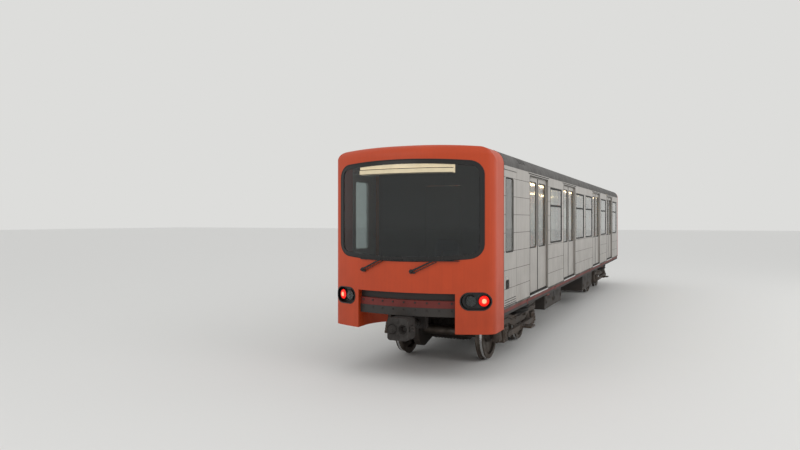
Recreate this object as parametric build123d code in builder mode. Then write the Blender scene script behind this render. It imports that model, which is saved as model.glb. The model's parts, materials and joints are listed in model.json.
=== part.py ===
from build123d import *
from math import atan2, copysign, cos, pi, radians, sin, sqrt
import os

# A metro car, the leading one with the driver's cab, in millimetres. Z is up from the bottom of
# the wheel flanges, the cab faces -Y, and +X is the car's left side. Y = 0 is midway over couplers.

# Driving dimensions of the body shell
HALF_WIDTH = 1350
FACE_Y = -8850
SEAM_Y = -7970
REAR_Y = 8900
COUPLED_LENGTH = 18200
FLOOR_Z = 1068
FLOOR_T = 40
GUTTER_Z = 3300
CANTRAIL_H = 72
COVE_R = 235
ROOF_SLOPE = 4
ROOF_T = 40
SEAT_GAP = 0.3

# Side wall, from the skin inwards: outer panel, pocket with the sliding leaves, inner lining
SKIN_T = 30
LEAF_T = 34
LEAF_GAP = 8
LINING_T = 14
SILL_T = 32
SOLE_H = 110
SOLE_T = 12
SOLE_W = 95
SOLE_RECESS = 20
SKIN_INNER_X = HALF_WIDTH - SKIN_T
LEAF_OUTER_X = SKIN_INNER_X - LEAF_GAP
LEAF_INNER_X = LEAF_OUTER_X - LEAF_T
LINING_OUTER_X = LEAF_INNER_X - LEAF_GAP
LINING_X = LINING_OUTER_X - LINING_T
SILL_TOP_Z = FLOOR_Z - LEAF_GAP
DECK_BOTTOM_Z = FLOOR_Z - FLOOR_T
CANTRAIL_Z = GUTTER_Z - CANTRAIL_H

# Doorways and windows of one side, from the cab backwards
DOORWAY_W = 1600
LEAF_LAP = 15
MEETING_GAP = 6
DOORWAYS_Y = (-5380, -2000, 2750, 6130)
WINDOW_W = 1300
WINDOW_FOOT_Z = 1948
WINDOW_TOP_Z = 3103
WINDOW_R = 50
HOPPER_Z = 2728
FRAME_W = 28
FRAME_PROUD = 2
FRAME_T = 26
GLASS_T = 8
BAY_2_PITCH = 1590
END_WINDOW_SHIFT = -140
LEAF_WINDOW_W = 640
DOOR_WINDOW_REACH = 30
LEAF_WINDOW_R = 70
SEAM_PITCH = 295
SEAM_FIRST_Z = 1338
SEAM_COUNT = 7
SEAM_W = 8
SEAM_DEPTH = 3
DRIP_PROUD = 8
DRIP_OVERHANG = 100
DRIP_H = 16

# Cab: nose in plan, mask, windscreen, lamps and the coupler's cut-out
FACE_R = 2700
CORNER_R = 180
NOSE_TOP_R = 165
# The nose's section stands this far outside its plan, so its cove meets the corner at an angle
NOSE_EASE = 0.1
MASK_WALL = 35
SKIRT_Z = 728
SCREEN_HALF_W = 1210
SCREEN_FOOT_Z = 1880
SCREEN_SAG = 73
SCREEN_TOP_Z = 3295
SCREEN_RISE = 50
SCREEN_R = 185
SCREEN_BORDER = 62
BORDER_PROUD = 4
BORDER_T = 30
SCREEN_GLASS_T = 10
LAMP_X = 1095
LAMP_Z = 1218
LAMP_L = 440
LAMP_H = 270
LAMP_RIM = 14
LAMP_DEPTH = 70
LAMP_FLOOR_T = 20
LENS_R = 86
LENS_L = 42
HEAD_LENS_X = 1008
TAIL_LENS_X = 1186
CUTOUT_HALF_W = 810
CUTOUT_TOP_Z = 1328
CHEEK_T = 20
CHEEK_BACK_X = 640
LIP_DEPTH = 150
APRON_T = 30
HEADSTOCK_H = 180
HEADSTOCK_TOP_Z = 1208
HEADSTOCK_INSET = 70
SIGN_HALF_W = 790
SIGN_FOOT_Z = 3140
SIGN_H = 78
SIGN_DEPTH = 50
SIGN_INSET = 18
SIGN_HANGER_H = 245
WIPER_PIVOTS_X = (-720, 150)
WIPER_PIVOT_Z = 1650
WIPER_ARM_DX = 350
WIPER_ARM_DZ = 170
WIPER_BLADE_L = 760
WIPER_BOSS_R = 34
WIPER_ARM_W = 26
WIPER_PROUD = 46

# Cab doors, bulkhead and end doors
CAB_DOOR_W = 785
CAB_DOOR_T = 40
CAB_DOOR_GAP = 8
CAB_WINDOW_W = 480
CAB_WINDOW_SHIFT = 48
CAB_HANDLE_L = 200
CAB_HANDLE_SHIFT = 205
CAB_HANDLE_H = 140
CAB_HANDLE_R = 30
CAB_HANDLE_Z = 1405
STEP_SLOTS = 3
STEP_SLOT_PITCH = 38
STEP_SLOT_H = 12
BULKHEAD_Y = -7060
BULKHEAD_T = 40
END_DOOR_W = 650
END_DOOR_T = 36
END_DOORWAY_TOP_Z = 3040
END_DOOR_GLASS_W = 400
END_DOOR_GLASS_H = 700
END_WALL_T = 40
END_RING_L = 100
END_WINDOW_W = 560
END_WINDOW_H = 900
END_WINDOW_X = 770
HINGE_R = 12
HINGE_H = 70
HINGE_GAP = 0.5
HINGE_CLEAR = 5
HINGES_Z = (1350, 2150, 2950)

# Saloon fittings
LINING_INSET = 30
TRACK_W = 20
TRACK_H = 34
CEILING_Z = 3278
CEILING_EDGE_Z = 3240
CEILING_T = 12
CEILING_FLAT_X = 1000
LIGHT_X = 640
LIGHT_W = 130
LIGHT_H = 34
LIGHT_L = 1900
LIGHTS_Y = (-5900, -3800, -1700, 400, 2500, 4600, 6700)
GRILLE_Y = -6700
GRILLE_L = 560
GRILLE_H = 190
GRILLE_T = 20
GRILLE_SLOTS = 7
GRILLE_SLOT_TURN = 6.5
GRILLE_SLOT_H = 11
GRILLE_SLOT_DEPTH = 12
GRILLE_EDGE = 25
COVE_LEAN = 45
SEAT_PITCH = 520
SEAT_W = 500
SEAT_DEPTH = 430
SEAT_H = 440
SEAT_BACK_H = 860
SEAT_SHELL_T = 45
POLE_R = 17
RAIL_R = 15
POLE_X = 800
POLE_INSET = 90
SCREEN_PANEL_T = 10
DRAUGHT_Z = 1150
DRAUGHT_H = 1500
RAIL_Z = 2980

# Driver's desk and seat
DESK_INSET = 165
DESK_BACK_Y = -8230
DESK_HALF_W = 1050
DESK_H = 700
DESK_TOP_T = 60
DRIVER_X = 250
KNEE_W = 620
KNEE_DEPTH = 260
HOOD_W = 760
HOOD_L = 200
HOOD_H = 90
HOOD_Y = -8520
DRIVER_SEAT_Y = -7720
DRIVER_SEAT_W = 460
DRIVER_SEAT_FOOT_R = 170
DRIVER_SEAT_FOOT_H = 40
PEDESTAL_R = 60
CUSHION_T = 100
DRIVER_BACK_H = 620

# Running gear
FLANGE_DEPTH = 28
WHEEL_R = 430
FLANGE_R = WHEEL_R + FLANGE_DEPTH
WHEEL_W = 135
BACK_X = 680
HUB_R = 135
HUB_PROUD = 20
AXLE_SHOULDER = 40
WEB_X = 40
WEB_T = 36
WEB_DISH = 18
WEB_FLARE = 18
RIM_R = 342
FLANGE_W = 34
FLANGE_CREST = 10
TREAD_RISE = 3
AXLE_R = 82
JOURNAL_R = 62
JOURNAL_X = 1000
JOURNAL_DEPTH = 160
PIVOTS_Y = (-5850, 5850)
WHEELBASE = 2100
SIDE_FRAME_W = 130
SIDE_FRAME_TOP_Z = 765
SIDE_FRAME_FOOT_Z = 615
FRAME_DROP_TOP_Z = 700
FRAME_DROP_FOOT_Z = 520
FRAME_END = 1380
NECK_OUT = 740
NECK_IN = 440
TRANSOM_Y = 190
TRANSOM_W = 150
TRANSOM_H = 120
TRANSOM_Z = 540
CENTRE_PLATE_W = 420
BRAKE_X = 765
BRAKE_W = 80
BRAKE_H = 220
BRAKE_Z = 500
BRAKE_GAP = 6
AIR_SPRING_TOP_Z = 905
AIR_SPRING_STACK = (
    # foot above the frame, height, radius
    (0, 55, 190),
    (55, 110, 250),
    (165, 40, 215),
)
AXLE_BOX_W = 190
AXLE_BOX_L = 280
AXLE_BOX_H = 250
WING_Z = 400
WING_T = 35
SPRING_R = 85
SPRING_OFFSET = 240
SPRING_RINGS = 4
SPRING_STEP = 6
MOTOR_R = 225
MOTOR_L = 700
MOTOR_Y = 560
MOTOR_LUG_Z = 110
MOTOR_LUG_H = 60
GEAR_X = 470
GEAR_W = 120
GEAR_CASE_R = 300
PINION_CASE_R = 170
BEARING_GAP = 1
PIN_R = 60
PIN_Z = 560
SHOE_BEAM_T = 50
SHOE_BEAM_H = 90
SHOE_REACH_X = 1335
SHOE_W = 90
SHOE_L = 320
SHOE_ARM_W = 60
SHOE_ARM_T = 30

# Underframe and underfloor gear
BEARER_H = 70
BEARER_W = 60
BEARERS_Y = (
    -8000, -7500, -3900, -3000, -2100, -1200, -300, 600, 1500, 2400, 3300, 4100, 7600, 8600,
)
BOLSTER_L = 520
PAD_L = 240
PAD_W = 90
PAD_T = 30
JACKING_PADS_Y = (-4400, 4400)
CASE_R = 40
CASE_MARGIN = 50
CASE_DOOR_T = 8
CASES = (
    # middle along, middle across, length, width, depth
    (-3000, -700, 1900, 900, 520),
    (-3000, 700, 1900, 900, 440),
    (-600, -650, 1500, 1000, 560),
    (2200, 650, 1900, 1000, 560),
    (3500, -700, 1200, 900, 480),
)
TANK_R = 170
TANK_L = 1150
TANK_DROP = 20
TANK_END_R = 60
# Straps a bearer's pitch apart, each under a bearer
TANK_STRAP_PITCH = 900
RESERVOIRS = (
    # middle across, middle along
    (-700, 1050),
    (-250, 1050),
    (650, 150),
)

# Couplers
COUPLER_Z = 790
COUPLER_MOUNT_Y = -8200
COUPLER_MOUNT_W = 300
COUPLER_MOUNT_L = 120
COUPLER_MOUNT_H = 330
SHANK_R = 62
COUPLER_HEAD = 340
COUPLER_HEAD_L = 280
COUPLER_HEAD_R = 50
CONE_R = 70
CONE_L = 90
DRAWBAR_MOUNT_Y = 8500
DRAWBAR_R = 75
DRAWBAR_FLANGE_R = 150
DRAWBAR_FLANGE_T = 40
DRAWBAR_PCD = 230
DRAWBAR_BOLTS = 8
DRAWBAR_HOLE_R = 11

# Places worked out from the sizes above
SIDES = (("left", 1), ("right", -1))
TOP_Z = 3600
ARC_Y = FACE_Y + FACE_R
CORNER_X = HALF_WIDTH - CORNER_R
CORNER_Y = ARC_Y - sqrt((FACE_R - CORNER_R) ** 2 - CORNER_X ** 2)
FRONT_BACK_Y = CORNER_Y + CORNER_R / 4
CAB_DOOR_Y = SEAM_Y + CAB_DOOR_GAP
CAB_DOOR_BACK_Y = CAB_DOOR_Y + CAB_DOOR_W
CAB_DOOR_MID_Y = CAB_DOOR_Y + CAB_DOOR_W / 2
CAB_WINDOW_Y = CAB_DOOR_MID_Y - CAB_WINDOW_SHIFT
CAB_HANDLE_Y = CAB_DOOR_Y + CAB_HANDLE_SHIFT
CAB_PIN_X = HALF_WIDTH - CAB_DOOR_T - HINGE_R - 1
CAB_PIN_Y = CAB_DOOR_BACK_Y
BODY_FRONT_Y = CAB_DOOR_BACK_Y + CAB_DOOR_GAP
RING_Y = REAR_Y - END_RING_L
END_WALL_Y = REAR_Y - END_WALL_T
END_PIN_X = END_DOOR_W / 2
END_PIN_Y = END_WALL_Y - HINGE_R - 1
BULKHEAD_PIN_Y = BULKHEAD_Y + BULKHEAD_T + HINGE_R + 1
AXLE_Z = FLANGE_R
LEAF_TOP_Z = CANTRAIL_Z - LEAF_GAP
LEAF_W = DOORWAY_W / 2 + LEAF_LAP - MEETING_GAP / 2
LEAF_MID_X = (LEAF_OUTER_X + LEAF_INNER_X) / 2
WALL_MID_X = (HALF_WIDTH + LINING_X) / 2
SOLE_X = HALF_WIDTH - SOLE_RECESS
SOLE_FRONT_Y = SEAM_Y + SEAT_GAP
BEARER_HALF_W = SOLE_X - SOLE_W
BOLSTER_H = DECK_BOTTOM_Z - AIR_SPRING_TOP_Z - SEAT_GAP
CASE_TOP_Z = DECK_BOTTOM_Z - BEARER_H
AXLE_END_X = JOURNAL_X - AXLE_BOX_W / 2 + JOURNAL_DEPTH - HINGE_GAP
TREAD_X = BACK_X + WHEEL_W
AXLE_PROFILE = (
    # distance from the middle of the axle, radius
    (0, 0),
    (0, AXLE_R),
    (TREAD_X + AXLE_SHOULDER, AXLE_R),
    (TREAD_X + AXLE_SHOULDER + HUB_PROUD, JOURNAL_R),
    (AXLE_END_X, JOURNAL_R),
    (AXLE_END_X, 0),
)
WHEEL_PROFILE = (
    # the same, round one wheel: hub, web, rim, flange, tread
    (BACK_X, 0),
    (BACK_X, HUB_R),
    (BACK_X + WEB_X, HUB_R + WEB_FLARE),
    (BACK_X + WEB_X + WEB_DISH, RIM_R),
    (BACK_X, RIM_R + WEB_FLARE),
    (BACK_X, FLANGE_R - FLANGE_CREST),
    (BACK_X + FLANGE_CREST, FLANGE_R),
    (BACK_X + 2 * FLANGE_CREST, FLANGE_R),
    (BACK_X + FLANGE_W, WHEEL_R + TREAD_RISE),
    (TREAD_X, WHEEL_R - TREAD_RISE),
    (TREAD_X, RIM_R + WEB_FLARE),
    (BACK_X + WEB_X + WEB_DISH + WEB_T, RIM_R),
    (BACK_X + WEB_X + WEB_T, HUB_R + WEB_FLARE),
    (TREAD_X + HUB_PROUD, HUB_R),
    (TREAD_X + HUB_PROUD, 0),
)
SEAT_BACK_X = LINING_X - SEAT_GAP
SHOE_BEAM_X = JOURNAL_X + AXLE_BOX_W / 2 + SHOE_BEAM_T / 2 - 1
SPRING_RING_H = (SIDE_FRAME_FOOT_Z - WING_Z - WING_T / 2) / SPRING_RINGS
COUPLER_FACE_Y = CONE_L - COUPLED_LENGTH / 2
COUPLER_HEAD_Y = COUPLER_FACE_Y + COUPLER_HEAD_L
HALF_DOORWAY = DOORWAY_W / 2
BAYS = (
    # front end, back end, how far each window stands behind the bay's middle
    (BODY_FRONT_Y, DOORWAYS_Y[0] - HALF_DOORWAY, ()),
    (DOORWAYS_Y[0] + HALF_DOORWAY, DOORWAYS_Y[1] - HALF_DOORWAY, (0,)),
    (DOORWAYS_Y[1] + HALF_DOORWAY, DOORWAYS_Y[2] - HALF_DOORWAY, (-BAY_2_PITCH / 2, BAY_2_PITCH / 2)),
    (DOORWAYS_Y[2] + HALF_DOORWAY, DOORWAYS_Y[3] - HALF_DOORWAY, (0,)),
    (DOORWAYS_Y[3] + HALF_DOORWAY, RING_Y, (END_WINDOW_SHIFT,)),
)
WINDOWS_Y = [(front + back) / 2 + shift for front, back, shifts in BAYS for shift in shifts]
WINDOW_H = WINDOW_TOP_Z - WINDOW_FOOT_Z
WINDOW_Z = (WINDOW_TOP_Z + WINDOW_FOOT_Z) / 2
LEAF_WINDOW_H = WINDOW_H + 2 * DOOR_WINDOW_REACH
CAB_WINDOW_H = WINDOW_H + DOOR_WINDOW_REACH
CAB_WINDOW_Z = WINDOW_Z - DOOR_WINDOW_REACH / 2
SEAT_ROWS = [
    # middle of the row, seats in it
    ((front + back) / 2, int((back - front - 2 * POLE_INSET) // SEAT_PITCH)) for front, back, _ in BAYS[1:]
]
POLES_Y = [end_y for front, back, _ in BAYS[1:] for end_y in (front + POLE_INSET / 2, back - POLE_INSET / 2)]
RAILS = [((front + back) / 2, back - front - POLE_INSET) for front, back, _ in BAYS[1:]]
DRIP_STRIPS = [(door_y, DOORWAY_W + 2 * DRIP_OVERHANG, GUTTER_Z - DRIP_H) for door_y in DOORWAYS_Y]
DRIP_STRIPS.append((CAB_DOOR_MID_Y, CAB_DOOR_W, CANTRAIL_Z + DRIP_H / 2))

os.makedirs("parts", exist_ok=True)


def face_plan(inset, back_y, mode=Mode.ADD):
    """Plan of the cab's nose, a distance inside its skin, closed straight at its back."""
    turn = atan2(ARC_Y - CORNER_Y, CORNER_X)
    face_r = FACE_R - inset
    corner_r = CORNER_R - inset
    side_x = HALF_WIDTH - inset
    mid = (CORNER_X + corner_r * cos(turn / 2), CORNER_Y - corner_r * sin(turn / 2))
    far = (face_r * cos(turn), ARC_Y - face_r * sin(turn))
    with BuildLine() as outline:
        Line((side_x, back_y), (side_x, CORNER_Y))
        ThreePointArc((side_x, CORNER_Y), mid, far)
        ThreePointArc(far, (0, FACE_Y + inset), (-far[0], far[1]))
        ThreePointArc((-far[0], far[1]), (-mid[0], mid[1]), (-side_x, CORNER_Y))
        Line((-side_x, CORNER_Y), (-side_x, back_y))
        Line((-side_x, back_y), (side_x, back_y))
    make_face(outline.edges(), mode=mode)


def body_section(inset, foot_z, mode=Mode.ADD):
    """Cross-section of the body, a distance inside its skin, closed straight at its foot."""
    slope = radians(ROOF_SLOPE)
    bend = pi / 2 - slope
    cove_x = HALF_WIDTH - COVE_R
    cove_r = COVE_R - inset
    arch_r = (cove_x + COVE_R * sin(slope)) / sin(slope)
    arch_z = GUTTER_Z + (COVE_R - arch_r) * cos(slope)
    side_x = HALF_WIDTH - inset
    mid = (cove_x + cove_r * cos(bend / 2), GUTTER_Z + cove_r * sin(bend / 2))
    shoulder = (cove_x + cove_r * cos(bend), GUTTER_Z + cove_r * sin(bend))
    with BuildLine() as outline:
        if foot_z < GUTTER_Z:
            Line((side_x, foot_z), (side_x, GUTTER_Z))
            Line((-side_x, GUTTER_Z), (-side_x, foot_z))
        ThreePointArc((side_x, GUTTER_Z), mid, shoulder)
        ThreePointArc(shoulder, (0, arch_z + arch_r - inset), (-shoulder[0], shoulder[1]))
        ThreePointArc((-shoulder[0], shoulder[1]), (-mid[0], mid[1]), (-side_x, GUTTER_Z))
        Line((-side_x, foot_z), (side_x, foot_z))
    make_face(outline.edges(), mode=mode)


def screen_outline(inset, mode=Mode.ADD):
    """Windscreen outline seen from the front: arched head and foot, rounded corners."""
    half_w = SCREEN_HALF_W - inset
    foot_z = SCREEN_FOOT_Z + inset
    top_z = SCREEN_TOP_Z - inset
    with BuildLine() as outline:
        ThreePointArc((-half_w, foot_z), (0, foot_z - SCREEN_SAG), (half_w, foot_z))
        Line((half_w, foot_z), (half_w, top_z))
        ThreePointArc((half_w, top_z), (0, top_z + SCREEN_RISE), (-half_w, top_z))
        Line((-half_w, top_z), (-half_w, foot_z))
    plain = make_face(outline.edges(), mode=Mode.PRIVATE).face()
    add(plain.fillet_2d(SCREEN_R - inset, plain.vertices()), mode=mode)


def lamp_outline(inset, mode=Mode.ADD):
    """Both oblong lamp recesses seen from the front."""
    for lamp_x in (-LAMP_X, LAMP_X):
        with Locations((lamp_x, LAMP_Z)):
            SlotOverall(LAMP_L - 2 * inset, LAMP_H - 2 * inset, mode=mode)


def nose_solid(inset, foot_z, back_y, top_r):
    """Solid of the cab's nose, a distance inside its skin, its top edge rounded over the face."""
    section = inset - NOSE_EASE
    with BuildPart() as nose:
        with BuildSketch(Plane.XY.offset(foot_z)):
            face_plan(inset, back_y)
        extrude(amount=crown_z(section) - foot_z)
        rim = nose.faces().sort_by(Axis.Z)[-1].edges().filter_by(lambda e: e.center().Y < CORNER_Y)
        fillet(rim, top_r)
        with BuildSketch(Plane.XZ.offset(-back_y)):
            body_section(section, foot_z)
        extrude(amount=back_y - FACE_Y, mode=Mode.INTERSECT)
    return nose.part


def crown_z(inset):
    """Height of the roof's crown, a distance inside its skin."""
    slope = radians(ROOF_SLOPE)
    arch_r = (HALF_WIDTH - COVE_R + COVE_R * sin(slope)) / sin(slope)
    return GUTTER_Z + (COVE_R - arch_r) * cos(slope) + arch_r - inset


def face_band(proud, depth, outline):
    """Sheet that follows the face, from proud to depth inside the skin, cut to a front outline."""
    with BuildPart() as band:
        with BuildSketch(Plane.XY.offset(SKIRT_Z)):
            face_plan(proud, SEAM_Y)
            face_plan(depth, SEAM_Y + 1, mode=Mode.SUBTRACT)
        extrude(amount=TOP_Z - SKIRT_Z)
        with BuildSketch(Plane.XZ.offset(-FRONT_BACK_Y)):
            outline()
        extrude(amount=FRONT_BACK_Y - FACE_Y + 2 * LIP_DEPTH, mode=Mode.INTERSECT)
    return band.part


# The nose mask: one moulded shell with the windscreen, lamp and coupler openings
cab_void = nose_solid(MASK_WALL, SKIRT_Z - 1, SEAM_Y + 1, NOSE_TOP_R - MASK_WALL)
outer_nose = nose_solid(0, SKIRT_Z, SEAM_Y, NOSE_TOP_R)
with BuildPart() as front_mask:
    add(outer_nose)
    add(cab_void, mode=Mode.SUBTRACT)
    with BuildSketch(Plane.XZ.offset(-CORNER_Y)):
        screen_outline(0)
        lamp_outline(0)
        with Locations((0, SKIRT_Z)):
            Rectangle(2 * CUTOUT_HALF_W, 2 * (CUTOUT_TOP_Z - SKIRT_Z))
    extrude(amount=CORNER_Y - FACE_Y + LIP_DEPTH, mode=Mode.SUBTRACT)
    # Lip over the cut-out, the apron behind it and the jambs beside it
    with BuildSketch(Plane.XY.offset(CUTOUT_TOP_Z)):
        face_plan(MASK_WALL - 1, SEAM_Y)
        face_plan(LIP_DEPTH, SEAM_Y, mode=Mode.SUBTRACT)
        with Locations((0, FACE_Y)):
            Rectangle(2 * CUTOUT_HALF_W, 2 * CUTOUT_HALF_W, mode=Mode.INTERSECT)
    extrude(amount=CHEEK_T)
    with BuildSketch(Plane.XY.offset(HEADSTOCK_TOP_Z + SEAT_GAP)):
        face_plan(LIP_DEPTH - APRON_T, SEAM_Y)
        face_plan(LIP_DEPTH, SEAM_Y, mode=Mode.SUBTRACT)
        with Locations((0, FACE_Y)):
            Rectangle(2 * CUTOUT_HALF_W, 2 * CUTOUT_HALF_W, mode=Mode.INTERSECT)
    extrude(amount=CUTOUT_TOP_Z - HEADSTOCK_TOP_Z - SEAT_GAP)
    with BuildSketch(Plane.XY.offset(SKIRT_Z)):
        face_plan(MASK_WALL - 1, SEAM_Y)
        face_plan(LIP_DEPTH, SEAM_Y, mode=Mode.SUBTRACT)
        with Locations((CUTOUT_HALF_W + CHEEK_T / 2, FACE_Y), (-CUTOUT_HALF_W - CHEEK_T / 2, FACE_Y)):
            Rectangle(CHEEK_T, 2 * CUTOUT_HALF_W, mode=Mode.INTERSECT)
    extrude(amount=CUTOUT_TOP_Z + CHEEK_T - SKIRT_Z)
    # Returns of the skirts, swept back beside the coupler
    cheek_y = ARC_Y - sqrt((FACE_R - LIP_DEPTH) ** 2 - CUTOUT_HALF_W ** 2)
    with BuildSketch(Plane.XY.offset(SKIRT_Z)):
        with BuildLine() as cheek:
            start = (CUTOUT_HALF_W + CHEEK_T / 2, cheek_y - CHEEK_T / 4)
            middle = (CUTOUT_HALF_W - CHEEK_T, (cheek_y + SEAM_Y) / 2)
            ThreePointArc(start, middle, (CHEEK_BACK_X, SEAM_Y - CHEEK_T))
        trace(cheek.edges(), line_width=CHEEK_T)
        mirror(about=Plane.YZ)
    extrude(amount=CASE_TOP_Z - SEAT_GAP - SKIRT_Z)
front_mask.part.label = "front_mask"
export_step(front_mask.part, "parts/front_mask.step")

# Black border that holds the windscreen, standing a little proud of the mask
border = face_band(-BORDER_PROUD, BORDER_T, lambda: screen_outline(SEAT_GAP))
border_hole = face_band(-2 * BORDER_PROUD, 2 * BORDER_T, lambda: screen_outline(SCREEN_BORDER))
with BuildPart() as windscreen_border:
    add(border)
    add(border_hole, mode=Mode.SUBTRACT)
windscreen_border.part.label = "windscreen_border"
export_step(windscreen_border.part, "parts/windscreen_border.step")

pane_outline = lambda: screen_outline(SCREEN_BORDER + SEAT_GAP)
pane = face_band(BORDER_PROUD, BORDER_PROUD + SCREEN_GLASS_T, pane_outline)
with BuildPart() as windscreen:
    add(pane)
windscreen.part.label = "windscreen"
export_step(windscreen.part, "parts/windscreen.step")


def sign_outline(height):
    """Front outline of the destination box or of its hanger."""
    with Locations((0, SIGN_FOOT_Z + height / 2)):
        Rectangle(2 * SIGN_HALF_W, height)


# Blank destination box behind the head of the windscreen, hung on the mask above the opening
sign_case = face_band(SIGN_INSET, SIGN_INSET + SIGN_DEPTH, lambda: sign_outline(SIGN_H))
sign_hanger = face_band(MASK_WALL + SEAT_GAP, SIGN_INSET + SIGN_DEPTH, lambda: sign_outline(SIGN_HANGER_H))
with BuildPart() as destination_box:
    add(sign_case)
    add(sign_hanger)
destination_box.part.label = "destination_box"
export_step(destination_box.part, "parts/destination_box.step")

# Lamp housings: an oblong tub on each side, its floor following the face
tub = face_band(-BORDER_PROUD, LAMP_DEPTH + LAMP_FLOOR_T, lambda: lamp_outline(SEAT_GAP))
tub_hole = face_band(-2 * BORDER_PROUD, LAMP_DEPTH, lambda: lamp_outline(LAMP_RIM))
with BuildPart() as lamp_housings:
    add(tub)
    add(tub_hole, mode=Mode.SUBTRACT)
lamp_housings.part.label = "lamp_housings"
export_step(lamp_housings.part, "parts/lamp_housings.step")

for name, lens_x, depth in (("head_lamps", HEAD_LENS_X, LAMP_DEPTH), ("tail_lamps", TAIL_LENS_X, LAMP_DEPTH)):
    with BuildPart() as lamps:
        for side in (-1, 1):
            outward = Vector(side * lens_x, -sqrt((FACE_R - depth) ** 2 - lens_x ** 2), 0)
            seat = Plane(
                origin=Vector(0, ARC_Y, LAMP_Z) + outward * ((FACE_R - depth + SEAT_GAP) / outward.length),
                x_dir=(0, 0, 1),
                z_dir=outward.normalized(),
            )
            with BuildSketch(seat):
                Circle(LENS_R)
            extrude(amount=LENS_L)
    lamps.part.label = name
    export_step(lamps.part, f"parts/{name}.step")


def wiper_outline():
    """Front outline of the wipers' arms and of the blades along the windscreen's foot."""
    for pivot_x in WIPER_PIVOTS_X:
        tip_x = pivot_x + WIPER_ARM_DX
        tip_z = WIPER_PIVOT_Z + WIPER_ARM_DZ
        with BuildLine() as arm:
            Line((pivot_x, WIPER_PIVOT_Z), (tip_x, tip_z))
        trace(arm.edges(), line_width=WIPER_ARM_W)
        with Locations((tip_x, tip_z)):
            Rectangle(WIPER_BLADE_L, WIPER_ARM_W)


def wiper_boss_outline():
    """Front outline of the wipers' pivot caps."""
    with Locations(*[(pivot_x, WIPER_PIVOT_Z) for pivot_x in WIPER_PIVOTS_X]):
        Circle(WIPER_BOSS_R)


# Two wipers: caps on the mask, arms and blades that follow the glass
wiper_arms = face_band(-WIPER_PROUD, -WIPER_PROUD / 3, wiper_outline)
wiper_bosses = face_band(-WIPER_PROUD, -SEAT_GAP, wiper_boss_outline)
with BuildPart() as wipers:
    add(wiper_arms)
    add(wiper_bosses)
wipers.part.label = "wipers"
export_step(wipers.part, "parts/wipers.step")

# Floor deck from the cab's apron to the end wall
with BuildPart() as floor_deck:
    with BuildSketch(Plane.XY.offset(DECK_BOTTOM_Z)):
        face_plan(LIP_DEPTH + SEAT_GAP, SEAM_Y)
        with Locations((0, (SEAM_Y + END_WALL_Y) / 2)):
            Rectangle(2 * LINING_X, END_WALL_Y - SEAM_Y)
    extrude(amount=FLOOR_T)
floor_deck.part.label = "floor"
export_step(floor_deck.part, "parts/floor.step")

# Outer frame: two sole bars open inwards with jacking pads under them, and the curved headstock
# that shows in the coupler's cut-out
with BuildPart() as outer_frame:
    for _, side in SIDES:
        with BuildSketch(Plane.XZ.offset(-SOLE_FRONT_Y)):
            with Locations((side * (SOLE_X - SOLE_W / 2), DECK_BOTTOM_Z - SOLE_H / 2)):
                Rectangle(SOLE_W, SOLE_H)
            with Locations((side * (SOLE_X - SOLE_T - SOLE_W / 2), DECK_BOTTOM_Z - SOLE_H / 2)):
                Rectangle(SOLE_W, SOLE_H - 2 * SOLE_T, mode=Mode.SUBTRACT)
        extrude(amount=-(REAR_Y - SOLE_FRONT_Y))
        for pad_y in JACKING_PADS_Y:
            with Locations((side * (SOLE_X - SOLE_W / 2), pad_y, DECK_BOTTOM_Z - SOLE_H)):
                Box(PAD_W, PAD_L, PAD_T, align=(Align.CENTER, Align.CENTER, Align.MAX))
    with BuildSketch(Plane.XY.offset(HEADSTOCK_TOP_Z - HEADSTOCK_H)):
        face_plan(HEADSTOCK_INSET, SEAM_Y)
        face_plan(LIP_DEPTH, SEAM_Y, mode=Mode.SUBTRACT)
        with Locations((0, FACE_Y)):
            Rectangle(2 * (CUTOUT_HALF_W - SEAT_GAP), 2 * CUTOUT_HALF_W, mode=Mode.INTERSECT)
    extrude(amount=HEADSTOCK_H)
outer_frame.part.label = "outer_frame"
export_step(outer_frame.part, "parts/outer_frame.step")

# Cross members between the sole bars: bearers under the deck, and over each bogie the bolster
# that rests on its air springs and holds its pivot pin
with BuildPart() as cross_members:
    for bearer_y in BEARERS_Y:
        with Locations((0, bearer_y, DECK_BOTTOM_Z)):
            Box(2 * BEARER_HALF_W, BEARER_W, BEARER_H, align=(Align.CENTER, Align.CENTER, Align.MAX))
    for pivot_y in PIVOTS_Y:
        with Locations((0, pivot_y, AIR_SPRING_TOP_Z + SEAT_GAP)):
            Box(2 * BEARER_HALF_W, BOLSTER_L, BOLSTER_H, align=(Align.CENTER, Align.CENTER, Align.MIN))
        with Locations((0, pivot_y, PIN_Z)):
            Cylinder(PIN_R, DECK_BOTTOM_Z - PIN_Z, align=(Align.CENTER, Align.CENTER, Align.MIN))
cross_members.part.label = "cross_members"
export_step(cross_members.part, "parts/cross_members.step")


def side_plane(x):
    """Upright plane along the car at x, drawn with Y to the right and Z up."""
    return Plane(origin=(x, 0, 0), x_dir=(0, 1, 0), z_dir=(1, 0, 0))


def window_outline(inset, mode=Mode.ADD):
    """All windows of one side, seen square on."""
    with Locations(*[(window_y, WINDOW_Z) for window_y in WINDOWS_Y]):
        RectangleRounded(WINDOW_W - 2 * inset, WINDOW_H - 2 * inset, WINDOW_R - inset, mode=mode)


def end_window_outline(inset, mode=Mode.ADD):
    """Both windows of the end wall, seen from behind."""
    with Locations((-END_WINDOW_X, WINDOW_Z), (END_WINDOW_X, WINDOW_Z)):
        RectangleRounded(END_WINDOW_W - 2 * inset, END_WINDOW_H - 2 * inset, WINDOW_R - inset, mode=mode)


def end_glass_outline(inset, mode=Mode.ADD):
    """Window of the end door, seen from behind."""
    with Locations((0, WINDOW_Z)):
        RectangleRounded(
            END_DOOR_GLASS_W - 2 * inset, END_DOOR_GLASS_H - 2 * inset, LEAF_WINDOW_R - inset, mode=mode,
        )


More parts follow.
